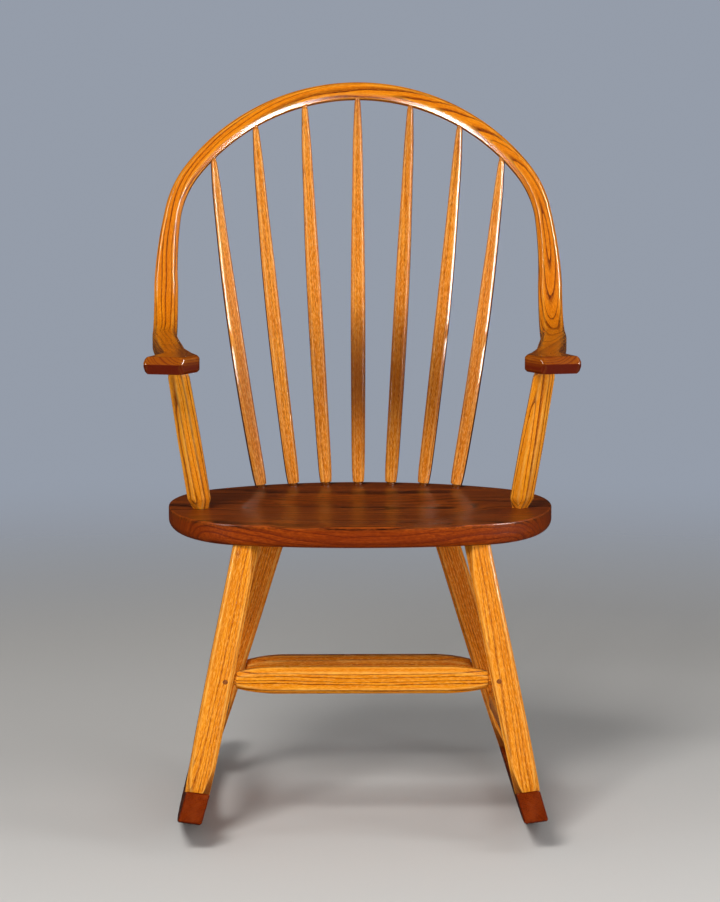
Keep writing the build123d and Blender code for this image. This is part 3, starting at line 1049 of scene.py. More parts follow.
@dataclass
class Rockers(Assembly):
    """The two bent runners, which lean and toe in, with the dowels that pin the legs in them."""

    sole_radius: float = 1.250
    height: float = 0.046
    thickness: float = 0.035
    contact: Triple = (0.2428, -0.0105, 0.0)
    toe_in: float = radians(1.2)
    side_tilt: float = radians(16)
    edge_tilt: float = radians(8)
    front_reach: float = 0.341
    rear_reach: float = 0.362
    leg_stations: tuple[float, float] = (-0.2515, 0.1655)
    bevel: float = 0.002
    ring_count: int = 96
    dowel_radius: float = 0.003
    dowel_depth: float = 0.013
    dowel_length: float = 0.030
    dowel_head: float = 0.0004

    def __post_init__(self) -> None:
        """Works out the left rocker's own axes."""
        self.origin = np.array(self.contact)
        self.along = np.array((-sin(self.toe_in), cos(self.toe_in), 0.0))
        self.up = square_to(self.along, np.array((-sin(self.side_tilt), 0.0, cos(self.side_tilt))))
        self.out = np.array((cos(self.edge_tilt), 0.0, sin(self.edge_tilt)))

    def point(self, station: float, above_sole: float, outward: float) -> Array:
        """A point of the left rocker: along it, above its sole, and out from its inner face."""
        rise = self.sole_radius - sqrt(self.sole_radius**2 - station**2) + above_sole
        return self.origin + self.along * station + self.up * rise + self.out * outward

    def meet_top(self, points: Array, direction: Array) -> Array:
        """Slides points along a direction until they meet the left rocker's top.

        Args:
            points: The points, one row each.
            direction: The direction to slide them in.

        Returns:
            The points on the rocker's top.
        """
        axes = np.linalg.inv(np.column_stack((self.along, self.up, self.out)))
        start = (points - self.origin) @ axes.T
        move = axes @ direction
        run, rise = start[:, 0], self.sole_radius - start[:, 1]
        a = move[0] ** 2 + move[1] ** 2
        b = run * move[0] - rise * move[1]
        c = run**2 + rise**2 - (self.sole_radius - self.height) ** 2
        root = np.sqrt(b * b - a * c)
        near = np.where(np.abs(root - b) < np.abs(root + b), root - b, -b - root) / a
        return points + near[:, None] * direction

    def pieces(self) -> Iterator[Finished]:
        """Makes both rockers and all the dowels.

        Yields:
            Each piece, with its finish.
        """
        for side in Side:
            yield self.rocker(side), ROCKER_WOOD
        yield self.dowels(), PEG_WOOD

    def rocker(self, side: Side) -> bpy.types.Object:
        """One rocker, bent along its grain.

        Args:
            side: Its side.

        Returns:
            The rocker.
        """
        loft = Loft(Cut(start=0.4, pith_across=0.03, pith_deep=0.05, runout_deep=0.01))
        radius, bevel = self.sole_radius, self.bevel
        first, last = -np.arcsin(self.front_reach / radius), np.arcsin(self.rear_reach / radius)
        nose = bevel / radius
        whole = BevelledSection(self.thickness, self.height, bevel)
        small = BevelledSection(self.thickness - 2 * bevel, self.height - 2 * bevel, bevel / 2)
        body = steps(first + 2 * nose, last - 2 * nose, self.ring_count)
        for turn in (first, first + nose, *body, last - nose, last):
            section = small if turn in (first, last) else whole
            inward = self.up * cos(turn) - self.along * sin(turn)
            sole = self.origin + (self.along * sin(turn) + self.up * (1 - cos(turn))) * radius
            middle = sole + self.out * self.thickness / 2 + inward * self.height / 2
            axes = (side.place(self.out), side.place(inward))
            loft.ring(side.place(middle), axes, section, radius * turn)
        return loft.object(f"rocker_{side.value}")

    def dowels(self) -> bpy.types.Object:
        """The four dowels, each with a slightly domed head on the rocker's outer face.

        Returns:
            All four as one piece.
        """
        loft = Loft(Cut(start=0.0, pith_across=0.0, pith_deep=0.004))
        size = (self.dowel_radius, self.dowel_length, self.dowel_head)
        for side in Side:
            for station in self.leg_stations:
                start = self.point(station, self.height - self.dowel_depth, self.thickness)
                peg(loft, side.place(start), side.place(-self.out), *size)
        return loft.object("rocker_dowels")


# ---- Legs ----


@dataclass
class Legs(Assembly):
    """Four shaved legs between the seat and the rockers."""

    rockers: Rockers
    seat_underside: float = 0.436
    front_top: tuple[float, float] = (0.172, -0.185)
    rear_top: tuple[float, float] = (0.124, 0.066)
    width: Profile = Profile(
        ((0.0, 0.039), (0.12, 0.039), (0.5, 0.041), (0.7, 0.041), (0.9, 0.0395), (1.06, 0.036))
    )
    bevel: Profile = Profile(((0.0, 0.004), (0.9, 0.004), (1.06, 0.011)), straight=True)
    inner_bevel: Profile = Profile(
        ((0.0, 0.012), (0.12, 0.005), (0.9, 0.005), (1.06, 0.015)), straight=True
    )
    # painted shade on the inner front bevel, under the seat at the top and near the foot
    inner_shade: Profile = Profile(
        ((0.0, 0.4), (0.1, 0.35), (0.16, 0.0), (0.86, 0.0), (0.91, 0.5), (1.0, 0.8)), straight=True
    )
    ring_count: int = 48
    last_share: float = 0.965
    foot_ease: float = 0.0008

    def __post_init__(self) -> None:
        """Works out where the left legs stand."""
        self.axes: dict[str, tuple[Array, Array]] = {}
        tops = (self.front_top, self.rear_top)
        for end, top, station in zip(("front", "rear"), tops, self.rockers.leg_stations):
            foot = self.rockers.point(station, self.rockers.height, self.rockers.thickness / 2)
            self.axes[end] = (np.array((*top, self.seat_underside)), foot)

    def at_height(self, end: str, z: float) -> Array:
        """The point of a left leg's axis at a height."""
        high, low = self.axes[end]
        return low + (high - low) * ((z - low[2]) / (high[2] - low[2]))

    def section(self, share: float, inset: float = 0.0) -> BevelledSection:
        """A level section at a share of the way down, drawn in all round by an inset."""
        width = self.width.at(share) - 2 * inset
        return BevelledSection(width, width, self.bevel.at(share), self.inner_bevel.at(share))

    def pieces(self) -> Iterator[Finished]:
        """Makes the four legs.

        Yields:
            Each piece, with its finish.
        """
        yield self.leg("front", Side.LEFT, Cut(0.0, 0.012, 0.030, 0.020, 0.012)), LEG_OAK
        yield self.leg("front", Side.RIGHT, Cut(1.1, -0.010, 0.026, -0.015, 0.020)), LEG_OAK
        yield self.leg("rear", Side.LEFT, Cut(2.3, 0.030, 0.018, 0.010, 0.0)), SHADED_REAR_OAK
        yield self.leg("rear", Side.RIGHT, Cut(3.2, -0.026, 0.020, 0.0, 0.015)), SHADED_REAR_OAK

    def leg(self, end: str, side: Side, cut: Cut) -> bpy.types.Object:
        """One leg, with level sections and its foot scribed to the rocker.

        Args:
            end: front or rear.
            side: Its side.
            cut: Where it was sawn.

        Returns:
            The leg.
        """
        top, foot = self.axes[end]
        length = float(np.linalg.norm(foot - top))
        loft = Loft(cut)
        axes = (side.place(ACROSS), REARWARD)
        for share in steps(0.0, self.last_share, self.ring_count):
            origin = side.place(top + (foot - top) * share)
            shading = PaintedShade(inner_bevel=self.inner_shade.at(share))
            loft.ring(origin, axes, self.section(share), share * length, 1.0, shading)
        down = unit(foot - top)
        for inset, lift in ((0.0, self.foot_ease), (self.foot_ease, 0.0)):
            flat, arris = self.section(1.0, inset).outline()
            level = foot + flat[:, :1] * ACROSS + flat[:, 1:] * REARWARD
            points = self.rockers.meet_top(level, down) - down * lift
            along = length + (points - level) @ down
            loft.add(side.place(points), flat, arris, along, loft.tones[-1])
        return loft.object(f"leg_{end}_{side.value}")


# ---- Stretchers ----


@dataclass
class Stretchers(Assembly):
    """Four bulged stretchers with round tenons in the legs, and the pegs that pin two of them."""

    legs: Legs
    front_z: float = 0.237
    rear_z: float = 0.188
    side_z: tuple[float, float] = (0.152, 0.142)
    height: float = 0.040
    side_height: float = 0.030
    depth: float = 0.029
    end_height: float = 0.025
    end_depth: float = 0.022
    bevel: float = 0.007
    shoulder: float = 0.0245
    shoulder_ease: float = 0.0015
    shoulder_step: float = 0.0002
    tenon_radius: float = 0.008
    tenon_past_axis: float = 0.006
    swell: Profile = Profile(
        (
            *((0.0, 0.0), (0.05, 0.5), (0.1, 0.82), (0.16, 1.0)),
            *((0.84, 1.0), (0.9, 0.82), (0.95, 0.5), (1.0, 0.0)),
        )
    )
    ring_count: int = 60
    peg_radius: float = 0.004
    peg_length: float = 0.031
    peg_head: float = 0.001
    peg_inset: float = 0.009
    peg_share: float = 0.55  # of the way down the leg, where its width is taken

    def pieces(self) -> Iterator[Finished]:
        """Makes the stretchers and their pegs.

        Yields:
            Each piece, with its finish.
        """
        front = self.legs.at_height("front", self.front_z)
        rear = self.legs.at_height("rear", self.rear_z)
        crossing = (
            ("front", front, Cut(0.2, 0.075, 0.014, 0.006), STRETCHER_OAK),
            ("rear", rear, Cut(2.6, 0.06, 0.012, -0.008), SHADED_REAR_OAK),
        )
        for end, point, cut, finish in crossing:
            ends = (point * MIRROR, point)
            yield self.stretcher(f"{end}_stretcher", *ends, self.height, cut), finish
        low = self.legs.at_height("front", self.side_z[0])
        high = self.legs.at_height("rear", self.side_z[1])
        for side, start in zip(Side, (4.1, 5.0)):
            name, ends = f"side_stretcher_{side.value}", (side.place(low), side.place(high))
            cut = Cut(start, 0.03, 0.02, 0.01, 0.01)
            yield self.stretcher(name, *ends, self.side_height, cut), SHADED_REAR_OAK
        yield self.pegs(front, rear), PEG_WOOD

    def body(self, height: float, swell: float) -> BevelledSection:
        """The section of a stretcher of a height where it swells by a share.

        Args:
            height: The stretcher's full height.
            swell: The share of its swell.

        Returns:
            The section.
        """
        tall = self.end_height + (height - self.end_height) * swell
        deep = self.end_depth + (self.depth - self.end_depth) * swell
        return BevelledSection(tall, deep, self.bevel)

    def stretcher(
        self, name: str, start: Array, end: Array, height: float, cut: Cut
    ) -> bpy.types.Object:
        """One stretcher between two leg axes.

        Args:
            name: The piece's name.
            start: Where it meets the first axis.
            end: Where it meets the second one.
            height: Its full height.
            cut: Where it was sawn.

        Returns:
            The stretcher.
        """
        run = unit(end - start)
        upward = square_to(run, UP)
        axes = (upward, np.cross(run, upward))
        length = float(np.linalg.norm(end - start))
        tenon, ease = RoundSection(self.tenon_radius), self.shoulder_ease
        small = BevelledSection(self.end_height - 2 * ease, self.end_depth - 2 * ease, self.bevel)
        first, last = self.shoulder, length - self.shoulder
        rings = [(-self.tenon_past_axis, tenon), (first - self.shoulder_step, tenon)]
        rings.append((first, small))
        body = last - first
        for share in steps(ease / body, 1 - ease / body, self.ring_count):
            rings.append((first + body * share, self.body(height, self.swell.at(share))))
        rings += [(last, small), (last + self.shoulder_step, tenon)]
        rings.append((length + self.tenon_past_axis, tenon))
        loft = Loft(cut)
        for place, section in rings:
            loft.ring(start + run * place, axes, section, place)
        return loft.object(name)

    def pegs(self, front: Array, rear: Array) -> bpy.types.Object:
        """The four pegs, whose domed heads show on the legs.

        Args:
            front: Where the front stretcher meets the left leg's axis.
            rear: Where the rear one does.

        Returns:
            All four as one piece.
        """
        loft = Loft(Cut(start=0.0, pith_across=0.0, pith_deep=0.003))
        half = self.legs.width.at(self.peg_share) / 2
        size = (self.peg_radius, self.peg_length, self.peg_head)
        for side in Side:
            for middle, inward in ((front, REARWARD), (rear, -REARWARD)):
                start = middle - ACROSS * self.peg_inset - inward * half
                peg(loft, side.place(start), inward, *size)
        return loft.object("stretcher_pegs")


# ---- Seat ----


@dataclass
class Seat(Assembly):
    """The saddled seat, glued up from three boards whose grain runs from side to side."""

    height: float = 0.469
    thickness: float = 0.033
    front_y: float = -0.244
    depth: float = 0.464
    width: float = 0.580
    widest_y: float = -0.055
    front_radius: float = 0.640
    front_run: float = 0.185
    back_radius: float = 0.385
    back_run: float = 0.225
    top_round: float = 0.0025
    under_round_in: float = 0.012
    under_round_up: float = 0.014
    joints: tuple[float, float] = (-0.120, 0.030)
    hairline: float = 0.0001
    dish_depth: float = 0.007
    dish_center_y: float = -0.052
    dish_floor: tuple[float, float] = (0.135, 0.084)
    dish_rim: tuple[float, float] = (0.218, 0.164)
    thigh_x: float = 0.095
    thigh_radius: float = 0.300
    thigh_depth: float = 0.003
    thigh_fade: tuple[float, float] = (-0.134, -0.195)
    stain_reach: float = 0.025  # how far the wall's stain goes in
    stain_drop: float = 0.004  # how far below the rim it is full
    arc_steps: int = 100
    side_steps: int = 120
    rim_steps: int = 5
    foot_steps: int = 8
    wall_shares: tuple[float, ...] = (0.15, 0.5, 0.85)
    under_stride: int = 3
    dish_reach: float = 3.0  # of the way from its floor to its rim, past the seat's edge
    dish_halvings: int = 30
    around: int = 360
    rings: int = 44

    def __post_init__(self) -> None:
        """Works out the seat's heights and its outline."""
        self.underside = self.height - self.thickness
        self.back_y = self.front_y + self.depth
        self.edge = self.outline()

    def back_edge_y(self, x: float) -> float:
        """The back edge's y at an x within the back arc."""
        return self.back_y - self.back_radius + sqrt(self.back_radius**2 - x**2)

    def outline(self) -> Array:
        """The seat's outline from above, evenly spaced, from the front's middle round by +X.

        Returns:
            Its points, one row each.
        """
        turn = np.arcsin(self.front_run / self.front_radius)
        back_turn = np.arcsin(self.back_run / self.back_radius)
        front = on_circle(self.front_radius, steps(0.0, turn, self.arc_steps)).T * (1, -1)
        front += (0.0, self.front_y + self.front_radius)
        back = on_circle(self.back_radius, steps(back_turn, 0.0, self.arc_steps)).T
        back += (0.0, self.back_y - self.back_radius)
        side = self.side_curve(front[-1], back[0], turn, back_turn)
        half = np.vstack((front, side[1:-1], back))
        whole = np.vstack((half, half[::-1][1:-1] * (-1, 1), half[:1]))
        spans = np.linalg.norm(np.diff(whole, axis=0), axis=1)
        run = np.concatenate(([0.0], np.cumsum(spans)))
        wanted = np.arange(self.around) * run[-1] / self.around
        return np.column_stack([np.interp(wanted, run, column) for column in whole.T])

    def side_curve(self, start: Array, end: Array, turn: float, back_turn: float) -> Array:
        """The side, as a spline through the widest point that leaves and meets the arcs smoothly.

        Args:
            start: The front arc's end.
            end: The back arc's start.
            turn: The front arc's half angle.
            back_turn: The back arc's half angle.

        Returns:
            Points of the side, one row each.
        """
        middle = np.array((self.width / 2, self.widest_y))
        spans = (middle - start, end - middle)
        h0, h1 = (float(np.linalg.norm(span)) for span in spans)
        m0 = np.array((cos(turn), sin(turn)))
        m2 = np.array((-cos(back_turn), sin(back_turn)))
        m1 = (3 * (h1 * spans[0] / h0 + h0 * spans[1] / h1) - h1 * m0 - h0 * m2) / (2 * (h0 + h1))
        t = steps(0.0, 1.0, self.side_steps)[:, None]
        low = cubic(start, middle, m0 * h0, m1 * h0, t)
        high = cubic(middle, end, m1 * h1, m2 * h1, t)
        return np.vstack((low, high[1:]))

    def top(self, x: Array, y: Array) -> Array:
        """The height of the seat's top, with its dish and its two thigh hollows.

        Args:
            x: The points' x.
            y: The points' y.

        Returns:
            The z of each.
        """
        across, through = np.abs(x), np.abs(y - self.dish_center_y)
        low, high = np.zeros_like(x), np.full_like(x, self.dish_reach)
        for _ in range(self.dish_halvings):
            middle = (low + high) / 2
            half_x, half_y = (
                floor + (rim - floor) * middle for floor, rim in zip(self.dish_floor, self.dish_rim)
            )
            outside = (across / half_x) ** 2 + (through / half_y) ** 2 > 1
            low, high = np.where(outside, middle, low), np.where(outside, high, middle)
        dish = self.dish_depth * (1 - smooth(np.clip(high, 0, 1)))
        sag = (across - self.thigh_x) ** 2 / (2 * self.thigh_radius)
        rear, front = self.thigh_fade
        forward = smooth(np.clip((rear - y) / (rear - front), 0, 1))
        hollow = np.clip(self.thigh_depth - sag, 0, None) * forward
        return self.height - np.hypot(dish, hollow)

    def levels(self) -> Iterator[tuple[Array, Array, float]]:
        """The rings of the seat's skin, from near the middle of its top to near its underside's.

        Yields:
            Each ring's points from above, their heights, and its arris value.
        """
        run = np.roll(self.edge, -1, axis=0) - np.roll(self.edge, 1, axis=0)
        inward = np.column_stack((-run[:, 1], run[:, 0]))
        inward /= np.linalg.norm(inward, axis=1, keepdims=True)
        center = np.array((0.0, self.dish_center_y))
        flat_edge = self.edge + inward * 2 * self.top_round
        shares = steps(0.0, 1.0, self.rings)[1:]
        for share in shares:
            flat = center + (flat_edge - center) * share
            yield flat, self.top(*flat.T), 0.0
        rim = self.top(*self.edge.T)
        for angle in steps(0.0, pi / 2, self.rim_steps):
            flat = self.edge + inward * self.top_round * (1 - sin(angle))
            yield flat, rim - self.top_round * (1 - cos(angle)), sin(2 * angle) ** 0.5
        wall_top, wall_foot = rim - self.top_round, self.underside + self.under_round_up
        for share in self.wall_shares:
            yield self.edge, wall_top + (wall_foot - wall_top) * share, 0.0
        level = np.ones_like(rim)
        for angle in steps(0.0, pi / 2, self.foot_steps):
            flat = self.edge + inward * self.under_round_in * (1 - cos(angle))
            yield flat, level * (wall_foot - self.under_round_up * sin(angle)), 0.0
        under_edge = self.edge + inward * self.under_round_in
        for share in shares[-2 :: -self.under_stride]:
            yield center + (under_edge - center) * share, level * self.underside, 0.0

    def blank(self) -> bpy.types.Mesh:
        """The whole seat as one closed mesh.

        Returns:
            The mesh, with its arris values.
        """
        levels = list(self.levels())
        middle = np.array((0.0, self.dish_center_y))
        top = float(self.top(middle[:1], middle[1:])[0])
        points = [np.column_stack((flat, z)) for flat, z, _ in levels]
        points += [np.array(((*middle, top), (*middle, self.underside)))]
        n, last = self.around, len(levels) - 1
        top_point, under_point = (last + 1) * n, (last + 1) * n + 1
        faces: list[tuple[int, ...]] = list(bands(0, last, n))
        for j in range(n):
            k = (j + 1) % n
            faces += ((top_point, k, j), (under_point, last * n + j, last * n + k))
        mesh = bpy.data.meshes.new("seat_blank")
        mesh.from_pydata(np.vstack(points).tolist(), [], faces)
        values = np.array([value for _, _, value in levels])
        store(mesh, "arris", np.append(np.repeat(values, n), (0.0, 0.0)))
        return mesh

    def pieces(self) -> Iterator[Finished]:
        """Makes the three boards.

        Yields:
            Each piece, with its finish.
        """
        blank = self.blank()
        edges = (self.front_y - self.thickness, *self.joints, self.back_y + self.thickness)
        boards = (
            ("seat_board_front", Cut(0.5, 0.02, 0.030, 0.01, 0.03)),
            ("seat_board_middle", Cut(2.0, -0.03, 0.045, -0.02, 0.01)),
            ("seat_board_rear", Cut(3.4, 0.01, 0.024, 0.02, 0.02)),
        )
        for (name, cut), low, high in zip(boards, edges, edges[1:]):
            yield self.board(name, blank, low, high, cut), SEAT_WOOD
        bpy.data.meshes.remove(blank)

    def board(
        self, name: str, blank: bpy.types.Mesh, low: float, high: float, cut: Cut
    ) -> bpy.types.Object:
        """One board of the seat.

        Args:
            name: The piece's name.
            blank: The whole seat.
            low: The y of its front joint.
            high: The y of its rear joint.
            cut: Where it was sawn.

        Returns:
            The board's object.
        """
        mesh = blank.copy()
        mesh.name = name
        with edited(mesh) as work:
            for y, outward in ((low + self.hairline, -1.0), (high - self.hairline, 1.0)):
                whole = [*work.verts, *work.edges, *work.faces]
                plane = {"plane_co": (0, y, 0), "plane_no": (0, outward, 0), "clear_outer": True}
                made = bmesh.ops.bisect_plane(work, geom=whole, **plane)["geom_cut"]
                rim = [item for item in made if isinstance(item, bmesh.types.BMEdge)]
                if rim:
                    bmesh.ops.edgeloop_fill(work, edges=rim)
        points = np.array([vertex.co for vertex in mesh.vertices])
        middle = (max(low, self.front_y) + min(high, self.back_y)) / 2
        x, y, z = points.T
        store(mesh, "grain", cut.places(x, y - middle, z - self.underside))
        wall = np.clip((self.height - self.thigh_depth - z) / self.stain_drop, 0, 1)
        away = (np.linalg.norm(self.edge - point, axis=1) for point in points[:, :2])
        gaps = np.array([distances.min() for distances in away])
        store(mesh, "tone", 1 - wall * np.clip(1 - gaps / self.stain_reach, 0, 1))
        return whole_piece(mesh, name)


# ---- Arm posts ----


@dataclass
class ArmPosts(Assembly):
    """The two eight-sided posts that carry the arms."""

    foot: Triple = (0.243, -0.053, 0.469)
    head: Triple = (0.274, -0.172, 0.699)
    width: Profile = Profile(
        ((0.0, 0.024), (0.07, 0.035), (0.5, 0.035), (0.93, 0.032), (1.0, 0.024)), straight=True
    )
    bevel: float = 0.010
    ring_count: int = 56
    into: float = 0.002  # how far the post goes on inside the seat and the arm

    def pieces(self) -> Iterator[Finished]:
        """Makes both posts."""
        yield self.post(Side.LEFT, Cut(0.7, 0.014, 0.028, 0.03)), HONEY_OAK
        yield self.post(Side.RIGHT, Cut(1.9, -0.012, 0.024, -0.02)), HONEY_OAK

    def post(self, side: Side, cut: Cut) -> bpy.types.Object:
        """One post, with level sections.

        Args:
            side: Its side.
            cut: Where it was sawn.

        Returns:
            The post.
        """
        foot, head = np.array(self.foot), np.array(self.head)
        length = float(np.linalg.norm(head - foot))
        loft = Loft(cut)
        into = self.into / length
        axes = (side.place(ACROSS), REARWARD)
        for share in (-into, *steps(0.0, 1.0, self.ring_count), 1 + into):
            width = self.width.at(min(1.0, max(0.0, share)))
            section = BevelledSection(width, width, self.bevel)
            loft.ring(side.place(foot + (head - foot) * share), axes, section, share * length)
        return loft.object(f"arm_post_{side.value}")


# ---- Hoop, arms and hand-rests ----


@dataclass
class Station:
    """One section of the hoop's left half."""

    origin: Array
    out: Array
    back: Array
    section: BevelledSection
    tone: float = 1.0
    shading: PaintedShade = PLAIN


@dataclass
class HoopArm(Assembly):
    """The one bent piece that is the hoop and both arms, with its hand-rests."""

    arm_top_z: float = 0.725
    arm_thickness: float = 0.026
    bend_start_y: float = 0.100
    bend_width: float = 0.037
    bend_radius: float = 0.100
    lean: float = radians(16)
    rise: float = 0.312
    crown_radius: float = 0.330
    crown_angle: float = radians(52)
    shoulder_radius: float = 0.160
    side_angle: float = radians(80)
    hoop_width: float = 0.026
    hoop_thickness: float = 0.024
    bevel: float = 0.004
    inner_bevel: float = 0.0065
    bevel_limit: float = 0.42  # of a section's depth
    neck_y: float = -0.210
    neck_x: float = 0.2705
    neck_width: float = 0.051
    arm_x: tuple[tuple[float, float], ...] = ((-0.125, 0.2835), (-0.046, 0.291), (0.030, 0.2975))
    arm_width: tuple[tuple[float, float], ...] = ((-0.125, 0.043), (-0.046, 0.042), (0.030, 0.040))
    tip: tuple[float, float] = (0.323, -0.269)
    apex: tuple[float, float] = (0.266, -0.281)
    inner: tuple[float, float] = (0.239, -0.239)
    tip_round: float = 0.006
    upper_bevel: float = 0.010
    lower_bevel_height: float = 0.015
    lower_bevel_depth: float = 0.010
    nose: tuple[float, ...] = (  # distances behind the front face, where sections stand close
        *(0.012, 0.010, 0.0094, 0.008, 0.006),
        *(0.004, 0.0024, 0.0012, 0.0004, 0.0),
    )
    rest_steps: int = 5
    nose_steps: int = 7
    dark_from_y: float = 0.170
    dark_tone: float = 0.36
    # painted shade on the hand-rests' undersides and lower bevels
    rest_shading: PaintedShade = PaintedShade(under=0.95)
    spacing: float = 0.006
    sweep: tuple[Triple, ...] = (
        (-1.1, 0.034, 0.050),
        (-0.2, 0.024, 0.046),
        (0.12, 0.014, 0.040),
        (0.30, 0.003, 0.016),
        (0.42, 0.000, 0.013),
        (0.65, 0.000, 0.034),
        (0.80, 0.010, 0.045),
        (1.10, 0.020, 0.050),
    )

    def __post_init__(self) -> None:
        """Works out the centres of the hoop's arcs."""
        self.arm_z = self.arm_top_z - self.arm_thickness / 2
        self.bend_turn = pi / 2 - self.lean
        self.bend_end_y = self.bend_start_y + self.bend_radius * sin(self.bend_turn)
        self.bend_end_z = self.arm_z + self.bend_radius * (1 - cos(self.bend_turn))
        self.crown_center = np.array((0.0, self.rise - self.crown_radius))
        shift = on_circle(self.crown_radius - self.shoulder_radius, self.crown_angle)
        self.shoulder_center = self.crown_center + shift
        shoulder_end = self.shoulder_center + on_circle(self.shoulder_radius, self.side_angle)
        self.side_radius = shoulder_end[1] / cos(self.side_angle)
        side_x = shoulder_end[0] - self.side_radius * sin(self.side_angle)
        self.side_center = np.array((side_x, 0.0))
        self.bend_x = side_x + self.side_radius
        self.upward = np.array((0.0, sin(self.lean), cos(self.lean)))
        self.rearward = np.array((0.0, cos(self.lean), -sin(self.lean)))

    def hoop_point(self, across: float, rise: float) -> Array:
        """A point of the hoop's middle surface, above the top of the bend."""
        return np.array((across, self.bend_end_y, self.bend_end_z)) + self.upward * rise

    def stick(self, width: float, depth: float) -> BevelledSection:
        """The section of the plain stick, with its wider inner bevel."""
        return BevelledSection(width, depth, self.bevel, self.inner_bevel)

    def arm_tone(self, y: float) -> float:
        """The arm's tone at a y: it darkens towards the hand-rest."""
        share = min(1.0, max(0.0, (self.dark_from_y - y) / (self.dark_from_y - self.neck_y)))
        return 1 + (self.dark_tone - 1) * share

    def hoop_stations(self) -> Iterator[Station]:
        """The hoop, from the middle of its crown down to the bend.

        Yields:
            Each section.
        """
        arcs = (
            (self.crown_center, self.crown_radius, 0.0, self.crown_angle),
            (self.shoulder_center, self.shoulder_radius, self.crown_angle, self.side_angle),
            (self.side_center, self.side_radius, self.side_angle, pi / 2),
        )
        for center, radius, first, last in arcs:
            count = max(2, round(radius * (last - first) / self.spacing))
            for angle in steps(first, last, count)[: None if last == pi / 2 else -1]:
                share = max(0.0, (angle - self.side_angle) / (pi / 2 - self.side_angle))
                width = self.hoop_width + (self.bend_width - self.hoop_width) * share
                depth = self.hoop_thickness + (self.arm_thickness - self.hoop_thickness) * share
                origin = self.hoop_point(*(center + on_circle(radius, angle)))
                out = ACROSS * sin(angle) + self.upward * cos(angle)
                yield Station(origin, out, self.rearward, self.stick(width, depth))

    def bend_stations(self) -> Iterator[Station]:
        """The bend, from the hoop's foot down to the arm.

        Yields:
            Each section.
        """
        count = round(self.bend_radius * self.bend_turn / self.spacing)
        section = self.stick(self.bend_width, self.arm_thickness)
        for turn in steps(self.bend_turn, 0.0, count)[1:]:
            y = self.bend_start_y + self.bend_radius * sin(turn)
            z = self.arm_z + self.bend_radius * (1 - cos(turn))
            back = np.array((0.0, sin(turn), -cos(turn)))
            origin = np.array((self.bend_x, y, z))
            yield Station(origin, ACROSS, back, section, self.arm_tone(y))

    def arm_stations(self) -> Iterator[Station]:
        """The arm, from the bend forward to the neck of the hand-rest.

        Yields:
            Each section.
        """
        bend_y, neck_y = self.bend_start_y, self.neck_y
        middle = Profile(((neck_y, self.neck_x), *self.arm_x, (bend_y, self.bend_x)))
        width = Profile(((neck_y, self.neck_width), *self.arm_width, (bend_y, self.bend_width)))
        for y in steps(bend_y, neck_y, round((bend_y - neck_y) / self.spacing))[1:]:
            origin = np.array((middle.at(y), y, self.arm_z))
            section = self.stick(width.at(y), self.arm_thickness)
            yield Station(origin, ACROSS, -UP, section, self.arm_tone(y))

    def rest_stations(self) -> Iterator[Station]:
        """The hand-rest, from its neck to its bevelled front.

        Yields:
            Each section.
        """
        tip, apex, inner = (np.array(point) for point in (self.tip, self.apex, self.inner))
        neck_in = np.array((self.neck_x - self.neck_width / 2, self.neck_y))
        neck_out = np.array((self.neck_x + self.neck_width / 2, self.neck_y))
        front = unit(tip - apex)
        rear = np.array((-front[1], front[0]))
        inner_gap = float((inner - apex) @ rear)
        outer_gap = float((neck_out - tip) @ rear)
        outer_at_inner = tip + (neck_out - tip) * inner_gap / outer_gap
        for share in steps(0.0, 1.0, self.rest_steps)[1:]:
            low = neck_in + (inner - neck_in) * share
            high = neck_out + (outer_at_inner - neck_out) * share
            bevel = self.inner_bevel + (self.bevel - self.inner_bevel) * share
            yield self.rest_station(low, high, 0.0, 0.0, bevel)
        lean = float((neck_out - tip) @ front) / outer_gap
        front_width = float((tip - apex) @ front)
        round_middle = front_width - self.round_tangent(tip, apex, neck_out)
        for gap in (*steps(inner_gap, self.nose[0], self.nose_steps)[1:], *self.nose[1:]):
            low = apex + (inner - apex) * gap / inner_gap
            reach = front_width + lean * gap
            if gap < self.tip_round:
                inside = self.tip_round**2 - (self.tip_round - gap) ** 2
                reach = min(reach, round_middle + sqrt(inside))
            high = apex + front * reach + rear * gap
            drop = max(0.0, self.upper_bevel - gap)
            lift = self.lower_bevel_height * max(0.0, 1 - gap / self.lower_bevel_depth)
            yield self.rest_station(low, high, drop, lift, self.bevel)

    def round_tangent(self, tip: Array, apex: Array, neck: Array) -> float:
        """How far from the tip's sharp corner its rounding starts."""
        cosine = float(unit(apex - tip) @ unit(neck - tip))
        return self.tip_round / tan(np.arccos(cosine) / 2)

    def rest_station(
        self, low: Array, high: Array, drop: float, lift: float, inner_bevel: float
    ) -> Station:
        """A section of the hand-rest.

        Args:
            low: Its inner end from above.
            high: Its outer end from above.
            drop: How far its top is cut down.
            lift: How far its underside is cut up.
            inner_bevel: Its inner upper bevel.

        Returns:
            The section.
        """
        depth = self.arm_thickness - drop - lift
        width = float(np.linalg.norm(high - low))
        bevels = (min(bevel, self.bevel_limit * depth) for bevel in (self.bevel, inner_bevel))
        return Station(
            np.array((*(low + high) / 2, self.arm_z + (lift - drop) / 2)),
            np.array((*unit(high - low), 0.0)),
            -UP,
            BevelledSection(width, depth, *bevels),
            self.dark_tone,
            self.rest_shading,
        )

